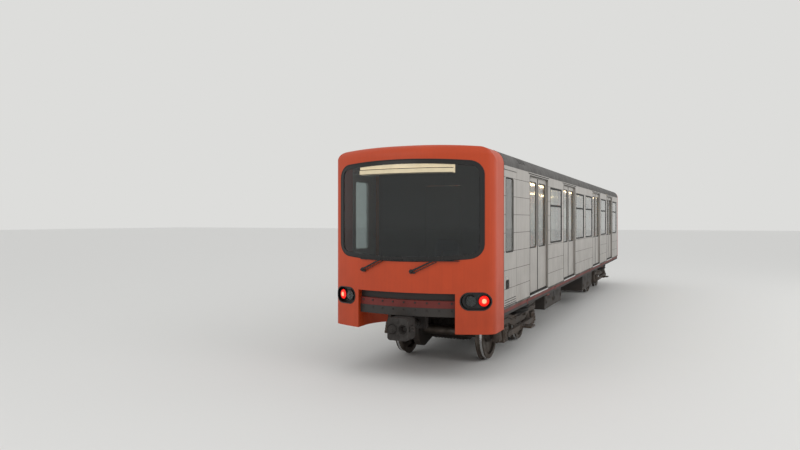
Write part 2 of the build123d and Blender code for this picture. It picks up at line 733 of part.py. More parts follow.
def bay_outline(foot_z, last_back):
    """All bays of one side, seen square on, the last one ending at last_back."""
    for front, back, _ in BAYS:
        back = last_back if back == RING_Y else back
        with Locations(((front + back) / 2, (foot_z + CANTRAIL_Z) / 2)):
            Rectangle(back - front, CANTRAIL_Z - foot_z)


# Outer side panels with their pressed seams and the knuckles of the cab doors' hinges
with BuildPart() as side_panels:
    for _, side in SIDES:
        with BuildSketch(side_plane(side * SKIN_INNER_X)):
            bay_outline(SILL_TOP_Z, RING_Y)
            window_outline(0, mode=Mode.SUBTRACT)
        extrude(amount=side * SKIN_T)
        with BuildSketch(side_plane(side * HALF_WIDTH)):
            for row in range(SEAM_COUNT):
                with Locations(((FACE_Y + REAR_Y) / 2, SEAM_FIRST_Z + row * SEAM_PITCH)):
                    Rectangle(REAR_Y - FACE_Y, SEAM_W)
        extrude(amount=-side * SEAM_DEPTH, mode=Mode.SUBTRACT)
        for hinge_z in HINGES_Z:
            with Locations((side * CAB_PIN_X, CAB_PIN_Y, hinge_z)):
                Cylinder(HINGE_R, HINGE_H, align=(Align.CENTER, Align.CENTER, Align.MAX))
            with Locations((side * (CAB_PIN_X + SKIN_INNER_X + 1) / 2, CAB_PIN_Y + HINGE_CLEAR, hinge_z)):
                Box(
                    SKIN_INNER_X + 1 - CAB_PIN_X, 3 * HINGE_R, HINGE_H,
                    align=(Align.CENTER, Align.MIN, Align.MAX),
                )
side_panels.part.label = "side_panels"
export_step(side_panels.part, "parts/side_panels.step")

# Inner linings behind the door pockets, with their own window openings
with BuildPart() as side_linings:
    for _, side in SIDES:
        with BuildSketch(side_plane(side * LINING_X)):
            bay_outline(SILL_TOP_Z, END_WALL_Y)
            window_outline(LINING_INSET, mode=Mode.SUBTRACT)
        extrude(amount=side * LINING_T)
side_linings.part.label = "side_linings"
export_step(side_linings.part, "parts/side_linings.step")

# Black window frames, standing a little proud, each with the bar below its hopper
with BuildPart() as window_frames:
    for _, side in SIDES:
        with BuildSketch(side_plane(side * (HALF_WIDTH + FRAME_PROUD))):
            window_outline(SEAT_GAP)
            window_outline(FRAME_W, mode=Mode.SUBTRACT)
            with Locations(*[(window_y, HOPPER_Z) for window_y in WINDOWS_Y]):
                Rectangle(WINDOW_W - 2 * FRAME_W + 2, FRAME_W)
        extrude(amount=-side * FRAME_T)
window_frames.part.label = "window_frames"
export_step(window_frames.part, "parts/window_frames.step")

# Glass: outer panes above and below the hopper bar, inner panes in the linings, end wall panes
with BuildPart() as window_glass:
    for _, side in SIDES:
        with BuildSketch(side_plane(side * (HALF_WIDTH - GLASS_T))):
            window_outline(FRAME_W + SEAT_GAP)
            with Locations(*[(window_y, HOPPER_Z) for window_y in WINDOWS_Y]):
                Rectangle(WINDOW_W, FRAME_W + 2 * SEAT_GAP, mode=Mode.SUBTRACT)
        extrude(amount=-side * GLASS_T)
        with BuildSketch(side_plane(side * (LINING_X + (LINING_T - GLASS_T) / 2))):
            window_outline(LINING_INSET + SEAT_GAP)
        extrude(amount=side * GLASS_T)
    with BuildSketch(Plane.XZ.offset(-(END_WALL_Y + END_WALL_T / 2))):
        end_window_outline(SEAT_GAP)
    extrude(amount=GLASS_T)
window_glass.part.label = "window_glass"
export_step(window_glass.part, "parts/window_glass.step")

# Sill rails under the leaves and panels, grooved below the leaves
with BuildPart() as sill_rails:
    for _, side in SIDES:
        with Locations((side * WALL_MID_X, (SEAM_Y + RING_Y) / 2, DECK_BOTTOM_Z)):
            Box(HALF_WIDTH - LINING_X, RING_Y - SEAM_Y, SILL_T, align=(Align.CENTER, Align.CENTER, Align.MIN))
        with Locations((side * LEAF_MID_X, (SEAM_Y + RING_Y) / 2, SILL_TOP_Z)):
            Box(TRACK_W, RING_Y - SEAM_Y + 2, SILL_T, mode=Mode.SUBTRACT)
sill_rails.part.label = "sill_rails"
export_step(sill_rails.part, "parts/sill_rails.step")

# Cantrails: the beams over the doors, slotted for the leaves' hangers, with their drip strips
with BuildPart() as cantrails:
    for _, side in SIDES:
        with Locations((side * WALL_MID_X, (SEAM_Y + RING_Y) / 2, CANTRAIL_Z)):
            Box(
                HALF_WIDTH - LINING_X, RING_Y - SEAM_Y, CANTRAIL_H,
                align=(Align.CENTER, Align.CENTER, Align.MIN),
            )
        with Locations((side * LEAF_MID_X, (SEAM_Y + RING_Y) / 2, CANTRAIL_Z)):
            Box(TRACK_W, RING_Y - SEAM_Y + 2, 2 * TRACK_H, mode=Mode.SUBTRACT)
        for strip_y, strip_l, strip_z in DRIP_STRIPS:
            with Locations((side * HALF_WIDTH, strip_y, strip_z)):
                Box(2 * DRIP_PROUD, strip_l, DRIP_H)
cantrails.part.label = "cantrails"
export_step(cantrails.part, "parts/cantrails.step")


def cove_patch(proud, depth, margin):
    """Curved patches of both coves behind the cab, from proud to depth inside the skin."""
    lean = sin(radians(COVE_LEAN)) * COVE_R
    with BuildPart() as patch:
        with BuildSketch(Plane.XZ.offset(-(GRILLE_Y + GRILLE_L / 2 - margin))):
            body_section(proud, GUTTER_Z)
            body_section(depth, GUTTER_Z - 1, mode=Mode.SUBTRACT)
            with Locations(*[
                Location((side * (HALF_WIDTH - COVE_R + lean), GUTTER_Z + lean, 0), (0, 0, COVE_LEAN * side))
                for _, side in SIDES
            ]):
                Rectangle(3 * ROOF_T, GRILLE_H - 2 * margin, mode=Mode.INTERSECT)
        extrude(amount=GRILLE_L - 2 * margin)
    return patch.part


grille_pocket = cove_patch(-1, GRILLE_T, 0)

# Roof skin, arched over rounded coves, with a pocket for each air grille
with BuildPart() as roof:
    with BuildSketch(Plane.XZ.offset(-SEAM_Y)):
        body_section(0, GUTTER_Z)
        body_section(ROOF_T, GUTTER_Z - 1, mode=Mode.SUBTRACT)
    extrude(amount=-(RING_Y - SEAM_Y))
    add(grille_pocket, mode=Mode.SUBTRACT)
roof.part.label = "roof"
export_step(roof.part, "parts/roof.step")

# Air grilles in the coves behind the cab
with BuildPart() as cove_grilles:
    add(cove_patch(SEAT_GAP, GRILLE_T - SEAT_GAP, SEAT_GAP))
    for _, side in SIDES:
        for slot in range(GRILLE_SLOTS):
            lean = COVE_LEAN + (slot - (GRILLE_SLOTS - 1) / 2) * GRILLE_SLOT_TURN
            turn = lean if side > 0 else 180 - lean
            with Locations(Location((side * (HALF_WIDTH - COVE_R), GRILLE_Y, GUTTER_Z), (0, -turn, 0))):
                with Locations((COVE_R, 0, 0)):
                    Box(
                        2 * GRILLE_SLOT_DEPTH, GRILLE_L - 2 * GRILLE_EDGE, GRILLE_SLOT_H,
                        mode=Mode.SUBTRACT,
                    )
cove_grilles.part.label = "cove_grilles"
export_step(cove_grilles.part, "parts/cove_grilles.step")

# Ceiling panel between the cantrails, and the light strips under it
with BuildPart() as ceiling:
    with BuildSketch(Plane.XZ.offset(-(BULKHEAD_Y + BULKHEAD_T))):
        with BuildLine():
            Polyline(
                (-LINING_X, CEILING_EDGE_Z), (-CEILING_FLAT_X, CEILING_Z), (CEILING_FLAT_X, CEILING_Z),
                (LINING_X, CEILING_EDGE_Z), (LINING_X, CEILING_EDGE_Z + CEILING_T),
                (CEILING_FLAT_X, CEILING_Z + CEILING_T), (-CEILING_FLAT_X, CEILING_Z + CEILING_T),
                (-LINING_X, CEILING_EDGE_Z + CEILING_T), close=True,
            )
        make_face()
    extrude(amount=-(END_WALL_Y - BULKHEAD_Y - BULKHEAD_T))
ceiling.part.label = "ceiling"
export_step(ceiling.part, "parts/ceiling.step")

with BuildPart() as light_strips:
    for side in (-1, 1):
        for strip_y in LIGHTS_Y:
            with Locations((side * LIGHT_X, strip_y, CEILING_Z)):
                Box(LIGHT_W, LIGHT_L, LIGHT_H, align=(Align.CENTER, Align.CENTER, Align.MAX))
light_strips.part.label = "light_strips"
export_step(light_strips.part, "parts/light_strips.step")

# End wall with its doorway and two windows, and the painted ring round it
with BuildPart() as end_wall:
    with BuildSketch(Plane.XZ.offset(-END_WALL_Y)):
        body_section(ROOF_T + SEAT_GAP, DECK_BOTTOM_Z)
        with Locations((0, (DECK_BOTTOM_Z + END_DOORWAY_TOP_Z) / 2)):
            Rectangle(END_DOOR_W + 2 * HINGE_CLEAR, END_DOORWAY_TOP_Z - DECK_BOTTOM_Z, mode=Mode.SUBTRACT)
        end_window_outline(0, mode=Mode.SUBTRACT)
    extrude(amount=-END_WALL_T)
    for hinge_z in HINGES_Z:
        with Locations((-END_PIN_X, END_PIN_Y, hinge_z)):
            Cylinder(HINGE_R, HINGE_H, align=(Align.CENTER, Align.CENTER, Align.MAX))
        with Locations((-END_PIN_X - HINGE_CLEAR, END_PIN_Y, hinge_z)):
            Box(
                3 * HINGE_R, END_WALL_Y - END_PIN_Y, HINGE_H,
                align=(Align.MAX, Align.MIN, Align.MAX),
            )
end_wall.part.label = "end_wall"
export_step(end_wall.part, "parts/end_wall.step")

with BuildPart() as end_ring:
    with BuildSketch(Plane.XZ.offset(-RING_Y)):
        body_section(0, DECK_BOTTOM_Z)
        body_section(ROOF_T, DECK_BOTTOM_Z - 1, mode=Mode.SUBTRACT)
    extrude(amount=-END_RING_L)
end_ring.part.label = "end_ring"
export_step(end_ring.part, "parts/end_ring.step")

# Sliding leaves: on each side four move towards the cab and four away from it
for name, side in SIDES:
    for way_name, way in (("fore", -1), ("aft", 1)):
        leaves_y = [door_y + way * (MEETING_GAP / 2 + LEAF_W / 2) for door_y in DOORWAYS_Y]
        with BuildPart() as leaves:
            with BuildSketch(side_plane(side * LEAF_INNER_X)):
                for leaf_y in leaves_y:
                    with Locations((leaf_y, (FLOOR_Z + LEAF_TOP_Z) / 2)):
                        Rectangle(LEAF_W, LEAF_TOP_Z - FLOOR_Z)
                    with Locations((leaf_y, WINDOW_Z)):
                        RectangleRounded(LEAF_WINDOW_W, LEAF_WINDOW_H, LEAF_WINDOW_R, mode=Mode.SUBTRACT)
            extrude(amount=side * LEAF_T)
            for leaf_y in leaves_y:
                with Locations((side * LEAF_MID_X, leaf_y, LEAF_TOP_Z - 1)):
                    Box(
                        TRACK_W - 1, LEAF_W, CANTRAIL_Z + TRACK_H - LEAF_TOP_Z - LEAF_GAP,
                        align=(Align.CENTER, Align.CENTER, Align.MIN),
                    )
        leaves.part.label = f"door_leaves_{name}_{way_name}"
        export_step(leaves.part, f"parts/door_leaves_{name}_{way_name}.step")
        with BuildPart() as leaf_glass:
            with BuildSketch(side_plane(side * (LEAF_MID_X - GLASS_T / 2))):
                for leaf_y in leaves_y:
                    with Locations((leaf_y, WINDOW_Z)):
                        RectangleRounded(
                            LEAF_WINDOW_W - 2 * SEAT_GAP, LEAF_WINDOW_H - 2 * SEAT_GAP,
                            LEAF_WINDOW_R - SEAT_GAP,
                        )
            extrude(amount=side * GLASS_T)
        leaf_glass.part.label = f"door_glass_{name}_{way_name}"
        export_step(leaf_glass.part, f"parts/door_glass_{name}_{way_name}.step")

    # Cab door with its tall narrow window, sunk handle and step slots
    with BuildPart() as cab_door:
        with BuildSketch(side_plane(side * (HALF_WIDTH - CAB_DOOR_T))):
            with Locations((CAB_DOOR_MID_Y, (FLOOR_Z + LEAF_TOP_Z) / 2)):
                Rectangle(CAB_DOOR_W, LEAF_TOP_Z - FLOOR_Z)
            with Locations((CAB_WINDOW_Y, CAB_WINDOW_Z)):
                RectangleRounded(CAB_WINDOW_W, CAB_WINDOW_H, WINDOW_R, mode=Mode.SUBTRACT)
        extrude(amount=side * CAB_DOOR_T)
        with BuildSketch(side_plane(side * HALF_WIDTH)):
            for row in range(SEAM_COUNT):
                with Locations((CAB_DOOR_MID_Y, SEAM_FIRST_Z + row * SEAM_PITCH)):
                    Rectangle(CAB_DOOR_W + 2, SEAM_W)
            for row in range(STEP_SLOTS):
                with Locations((CAB_DOOR_MID_Y, FLOOR_Z + STEP_SLOT_PITCH * (row + 0.5))):
                    SlotOverall(CAB_DOOR_W - 2 * STEP_SLOT_PITCH, STEP_SLOT_H)
        extrude(amount=-side * SEAM_DEPTH, mode=Mode.SUBTRACT)
        with BuildSketch(side_plane(side * HALF_WIDTH)):
            with Locations((CAB_HANDLE_Y, CAB_HANDLE_Z)):
                RectangleRounded(CAB_HANDLE_L, CAB_HANDLE_H, CAB_HANDLE_R)
                Rectangle(CAB_HANDLE_L, CAB_HANDLE_H / 4, mode=Mode.SUBTRACT)
        extrude(amount=-side * CAB_DOOR_T / 2, mode=Mode.SUBTRACT)
        for hinge_z in HINGES_Z:
            with Locations((side * CAB_PIN_X, CAB_PIN_Y, hinge_z + HINGE_GAP)):
                Cylinder(HINGE_R, HINGE_H, align=(Align.CENTER, Align.CENTER, Align.MIN))
            with Locations((side * (CAB_PIN_X + CAB_DOOR_T / 4), CAB_PIN_Y, hinge_z + HINGE_GAP)):
                Box(
                    CAB_DOOR_T / 2, 2 * HINGE_R, HINGE_H,
                    align=(Align.CENTER, Align.MAX, Align.MIN),
                )
    cab_door.part.label = f"cab_door_{name}"
    export_step(cab_door.part, f"parts/cab_door_{name}.step")
    with BuildPart() as cab_glass:
        with BuildSketch(side_plane(side * (HALF_WIDTH - CAB_DOOR_T / 2))):
            with Locations((CAB_WINDOW_Y, CAB_WINDOW_Z)):
                RectangleRounded(
                    CAB_WINDOW_W - 2 * SEAT_GAP, CAB_WINDOW_H - 2 * SEAT_GAP, WINDOW_R - SEAT_GAP,
                )
        extrude(amount=side * GLASS_T)
    cab_glass.part.label = f"cab_door_glass_{name}"
    export_step(cab_glass.part, f"parts/cab_door_glass_{name}.step")

# Cab bulkhead with a doorway in the middle
with BuildPart() as cab_bulkhead:
    with BuildSketch(Plane.XZ.offset(-BULKHEAD_Y)):
        body_section(ROOF_T + SEAT_GAP, FLOOR_Z)
        with Locations((0, (FLOOR_Z + TOP_Z) / 2)):
            Rectangle(2 * (LINING_X - SEAT_GAP), TOP_Z - FLOOR_Z, mode=Mode.INTERSECT)
        with Locations((0, (FLOOR_Z + END_DOORWAY_TOP_Z) / 2)):
            Rectangle(END_DOOR_W + 2 * HINGE_CLEAR, END_DOORWAY_TOP_Z - FLOOR_Z, mode=Mode.SUBTRACT)
    extrude(amount=-BULKHEAD_T)
    for hinge_z in HINGES_Z:
        with Locations((-END_PIN_X, BULKHEAD_PIN_Y, hinge_z)):
            Cylinder(HINGE_R, HINGE_H, align=(Align.CENTER, Align.CENTER, Align.MAX))
        with Locations((-END_PIN_X - HINGE_CLEAR, BULKHEAD_PIN_Y, hinge_z)):
            Box(
                3 * HINGE_R, BULKHEAD_PIN_Y - BULKHEAD_Y - BULKHEAD_T, HINGE_H,
                align=(Align.MAX, Align.MAX, Align.MAX),
            )
cab_bulkhead.part.label = "cab_bulkhead"
export_step(cab_bulkhead.part, "parts/cab_bulkhead.step")

# The doors of the bulkhead and of the end wall, hung on their saloon faces; the end door has a window
HUNG_DOORS = (
    # name, saloon face, pin, way into the door's thickness, has a window
    ("bulkhead_door", BULKHEAD_Y + BULKHEAD_T, BULKHEAD_PIN_Y, 1, False),
    ("end_door", END_WALL_Y, END_PIN_Y, -1, True),
)
for name, face_y, pin_y, inwards, glazed in HUNG_DOORS:
    with BuildPart() as hung_door:
        with BuildSketch(Plane.XZ.offset(-face_y)):
            with Locations((0, (FLOOR_Z + END_DOORWAY_TOP_Z) / 2)):
                Rectangle(END_DOOR_W, END_DOORWAY_TOP_Z - FLOOR_Z - 2 * LEAF_GAP)
            if glazed:
                end_glass_outline(0, mode=Mode.SUBTRACT)
        extrude(amount=inwards * END_DOOR_T)
        for hinge_z in HINGES_Z:
            with Locations((-END_PIN_X, pin_y, hinge_z + HINGE_GAP)):
                Cylinder(HINGE_R, HINGE_H, align=(Align.CENTER, Align.CENTER, Align.MIN))
            with Locations((-END_PIN_X, (pin_y + face_y) / 2, hinge_z + HINGE_GAP)):
                Box(2 * HINGE_R, abs(pin_y - face_y) + 2, HINGE_H, align=(Align.MIN, Align.CENTER, Align.MIN))
    hung_door.part.label = name
    export_step(hung_door.part, f"parts/{name}.step")

with BuildPart() as end_door_glass:
    with BuildSketch(Plane.XZ.offset(-END_WALL_Y - END_DOOR_T / 2)):
        end_glass_outline(SEAT_GAP)
    extrude(amount=GLASS_T / 2, both=True)
end_door_glass.part.label = "end_door_glass"
export_step(end_door_glass.part, "parts/end_door_glass.step")

# Driver's desk: follows the nose, with a knee space and a sloping instrument hood
with BuildPart() as driver_desk:
    with BuildSketch(Plane.XY.offset(FLOOR_Z)):
        face_plan(DESK_INSET, DESK_BACK_Y)
        with Locations((0, DESK_BACK_Y)):
            Rectangle(2 * DESK_HALF_W, -2 * FACE_Y, mode=Mode.INTERSECT)
    extrude(amount=DESK_H)
    with BuildSketch(side_plane(DRIVER_X - KNEE_W / 2)):
        with BuildLine():
            Polyline(
                (DESK_BACK_Y, FLOOR_Z), (DESK_BACK_Y, FLOOR_Z + DESK_H - DESK_TOP_T),
                (DESK_BACK_Y - KNEE_DEPTH, FLOOR_Z + DESK_H - 3 * DESK_TOP_T),
                (DESK_BACK_Y - KNEE_DEPTH, FLOOR_Z), close=True,
            )
        make_face()
    extrude(amount=KNEE_W, mode=Mode.SUBTRACT)
    with BuildSketch(side_plane(DRIVER_X - HOOD_W / 2)):
        with BuildLine():
            Polyline(
                (HOOD_Y, FLOOR_Z + DESK_H - 1), (HOOD_Y, FLOOR_Z + DESK_H + HOOD_H),
                (HOOD_Y + HOOD_L / 3, FLOOR_Z + DESK_H + HOOD_H), (HOOD_Y + HOOD_L, FLOOR_Z + DESK_H - 1),
                close=True,
            )
        make_face()
    extrude(amount=HOOD_W)
driver_desk.part.label = "driver_desk"
export_step(driver_desk.part, "parts/driver_desk.step")

# Driver's seat on its pedestal
with BuildPart() as driver_seat:
    with Locations((DRIVER_X, DRIVER_SEAT_Y, FLOOR_Z)):
        Cylinder(DRIVER_SEAT_FOOT_R, DRIVER_SEAT_FOOT_H, align=(Align.CENTER, Align.CENTER, Align.MIN))
        Cylinder(PEDESTAL_R, SEAT_H, align=(Align.CENTER, Align.CENTER, Align.MIN))
    with BuildSketch(side_plane(DRIVER_X - DRIVER_SEAT_W / 2)):
        with Locations((DRIVER_SEAT_Y, FLOOR_Z + SEAT_H)):
            Rectangle(DRIVER_SEAT_W, CUSHION_T)
        back_y = DRIVER_SEAT_Y + (DRIVER_SEAT_W - CUSHION_T) / 2
        with Locations((back_y, FLOOR_Z + SEAT_H + DRIVER_BACK_H / 2)):
            Rectangle(CUSHION_T, DRIVER_BACK_H)
    extrude(amount=DRIVER_SEAT_W)
    fillet(driver_seat.edges().filter_by(Axis.X), CUSHION_T / 4)
driver_seat.part.label = "driver_seat"
export_step(driver_seat.part, "parts/driver_seat.step")

# Passenger seats along the walls: a moulded shell on a pedestal, one beside the next
with BuildPart() as saloon_seats:
    for _, side in SIDES:
        for bay_y, seats in SEAT_ROWS:
            for place in range(seats):
                seat_y = bay_y + (place - (seats - 1) / 2) * SEAT_PITCH
                with BuildSketch(Plane.XZ.offset(-(seat_y + SEAT_W / 2))):
                    with BuildLine():
                        Polyline(
                            (side * SEAT_BACK_X, FLOOR_Z),
                            (side * SEAT_BACK_X, FLOOR_Z + SEAT_BACK_H),
                            (side * (SEAT_BACK_X - SEAT_SHELL_T), FLOOR_Z + SEAT_BACK_H),
                            (side * (SEAT_BACK_X - 2 * SEAT_SHELL_T), FLOOR_Z + SEAT_H),
                            (side * (SEAT_BACK_X - SEAT_DEPTH), FLOOR_Z + SEAT_H),
                            (side * (SEAT_BACK_X - SEAT_DEPTH), FLOOR_Z + SEAT_H - SEAT_SHELL_T),
                            (side * (SEAT_BACK_X - SEAT_DEPTH / 2), FLOOR_Z + SEAT_H - 2 * SEAT_SHELL_T),
                            (side * (SEAT_BACK_X - SEAT_DEPTH / 2), FLOOR_Z),
                            close=True,
                        )
                    make_face()
                extrude(amount=SEAT_W)
saloon_seats.part.label = "saloon_seats"
export_step(saloon_seats.part, "parts/saloon_seats.step")

# Grab poles by the doorways, with a rail along each bay
with BuildPart() as grab_rails:
    for _, side in SIDES:
        for pole_y in POLES_Y:
            with Locations((side * POLE_X, pole_y, FLOOR_Z)):
                Cylinder(POLE_R, CEILING_Z - FLOOR_Z, align=(Align.CENTER, Align.CENTER, Align.MIN))
        for rail_y, rail_l in RAILS:
            with Locations((side * POLE_X, rail_y, RAIL_Z)):
                Cylinder(RAIL_R, rail_l, rotation=(90, 0, 0))
grab_rails.part.label = "grab_rails"
export_step(grab_rails.part, "parts/grab_rails.step")

# Glass draught screens between the poles and the wall
with BuildPart() as draught_screens:
    for _, side in SIDES:
        for pole_y in POLES_Y:
            with Locations((side * (POLE_X + POLE_R + LINING_X) / 2, pole_y, DRAUGHT_Z)):
                Box(
                    LINING_X - POLE_X - POLE_R - 2 * SEAT_GAP, SCREEN_PANEL_T, DRAUGHT_H,
                    align=(Align.CENTER, Align.CENTER, Align.MIN),
                )
draught_screens.part.label = "draught_screens"
export_step(draught_screens.part, "parts/draught_screens.step")

# Cases hung from the cross bearers, each with raised doors on its outer side
with BuildPart() as equipment_cases:
    for case_y, case_x, length, width, depth in CASES:
        with Locations((case_x, case_y, CASE_TOP_Z)):
            Box(width, length, depth, align=(Align.CENTER, Align.CENTER, Align.MAX))
    fillet(equipment_cases.edges().filter_by(Axis.Y).group_by(Axis.Z)[0], CASE_R)
    for case_y, case_x, length, width, depth in CASES:
        door_l = (length - 3 * CASE_MARGIN) / 2
        outer_x = case_x + copysign(width / 2, case_x)
        for way in (-1, 1):
            with Locations((outer_x, case_y + way * (door_l + CASE_MARGIN) / 2, CASE_TOP_Z - CASE_MARGIN)):
                Box(
                    2 * CASE_DOOR_T, door_l, depth - 2 * CASE_MARGIN - CASE_R,
                    align=(Align.CENTER, Align.CENTER, Align.MAX),
                )
equipment_cases.part.label = "equipment_cases"
export_step(equipment_cases.part, "parts/equipment_cases.step")

with BuildPart() as air_reservoirs:
    for tank_x, tank_y in RESERVOIRS:
        with Locations((tank_x, tank_y, CASE_TOP_Z - TANK_R - TANK_DROP)):
            Cylinder(TANK_R, TANK_L, rotation=(90, 0, 0))
    fillet(air_reservoirs.edges().filter_by(GeomType.CIRCLE), TANK_END_R)
    for tank_x, tank_y in RESERVOIRS:
        for strap in (-1, 1):
            with Locations((tank_x, tank_y + strap * TANK_STRAP_PITCH / 2, CASE_TOP_Z)):
                Box(TANK_R, BEARER_W, TANK_DROP + TANK_R, align=(Align.CENTER, Align.CENTER, Align.MAX))
air_reservoirs.part.label = "air_reservoirs"
export_step(air_reservoirs.part, "parts/air_reservoirs.step")

# Couplers: in front a shank and a head with its cone and cup, behind a drawbar with a bolted flange
with BuildPart() as couplers:
    for mount_y in (COUPLER_MOUNT_Y, DRAWBAR_MOUNT_Y):
        with Locations((0, mount_y, DECK_BOTTOM_Z - SEAT_GAP)):
            Box(
                COUPLER_MOUNT_W, COUPLER_MOUNT_L, COUPLER_MOUNT_H,
                align=(Align.CENTER, Align.CENTER, Align.MAX),
            )
    with BuildSketch(Plane.XZ.offset(-COUPLER_MOUNT_Y)):
        with Locations((0, COUPLER_Z)):
            Circle(SHANK_R)
    extrude(amount=COUPLER_MOUNT_Y - COUPLER_HEAD_Y)
    with BuildSketch(Plane.XZ.offset(-COUPLER_HEAD_Y)):
        with Locations((0, COUPLER_Z)):
            RectangleRounded(COUPLER_HEAD, COUPLER_HEAD, COUPLER_HEAD_R)
    extrude(amount=COUPLER_HEAD_L)
    with Locations(Plane(origin=(-COUPLER_HEAD / 4, COUPLER_FACE_Y, COUPLER_Z), z_dir=(0, -1, 0))):
        Cone(CONE_R, CONE_R / 2, CONE_L, align=(Align.CENTER, Align.CENTER, Align.MIN))
    with Locations(Plane(origin=(COUPLER_HEAD / 4, COUPLER_FACE_Y, COUPLER_Z), z_dir=(0, 1, 0))):
        Cone(CONE_R, CONE_R / 2, CONE_L, align=(Align.CENTER, Align.CENTER, Align.MIN), mode=Mode.SUBTRACT)
    with BuildSketch(Plane.XZ.offset(-DRAWBAR_MOUNT_Y)):
        with Locations((0, COUPLER_Z)):
            Circle(DRAWBAR_R)
    extrude(amount=DRAWBAR_MOUNT_Y - COUPLED_LENGTH / 2)
    with BuildSketch(Plane.XZ.offset(-COUPLED_LENGTH / 2)):
        with Locations((0, COUPLER_Z)):
            Circle(DRAWBAR_FLANGE_R)
            with PolarLocations(DRAWBAR_PCD / 2, DRAWBAR_BOLTS):
                Circle(DRAWBAR_HOLE_R, mode=Mode.SUBTRACT)
    extrude(amount=DRAWBAR_FLANGE_T)
couplers.part.label = "couplers"
export_step(couplers.part, "parts/couplers.step")

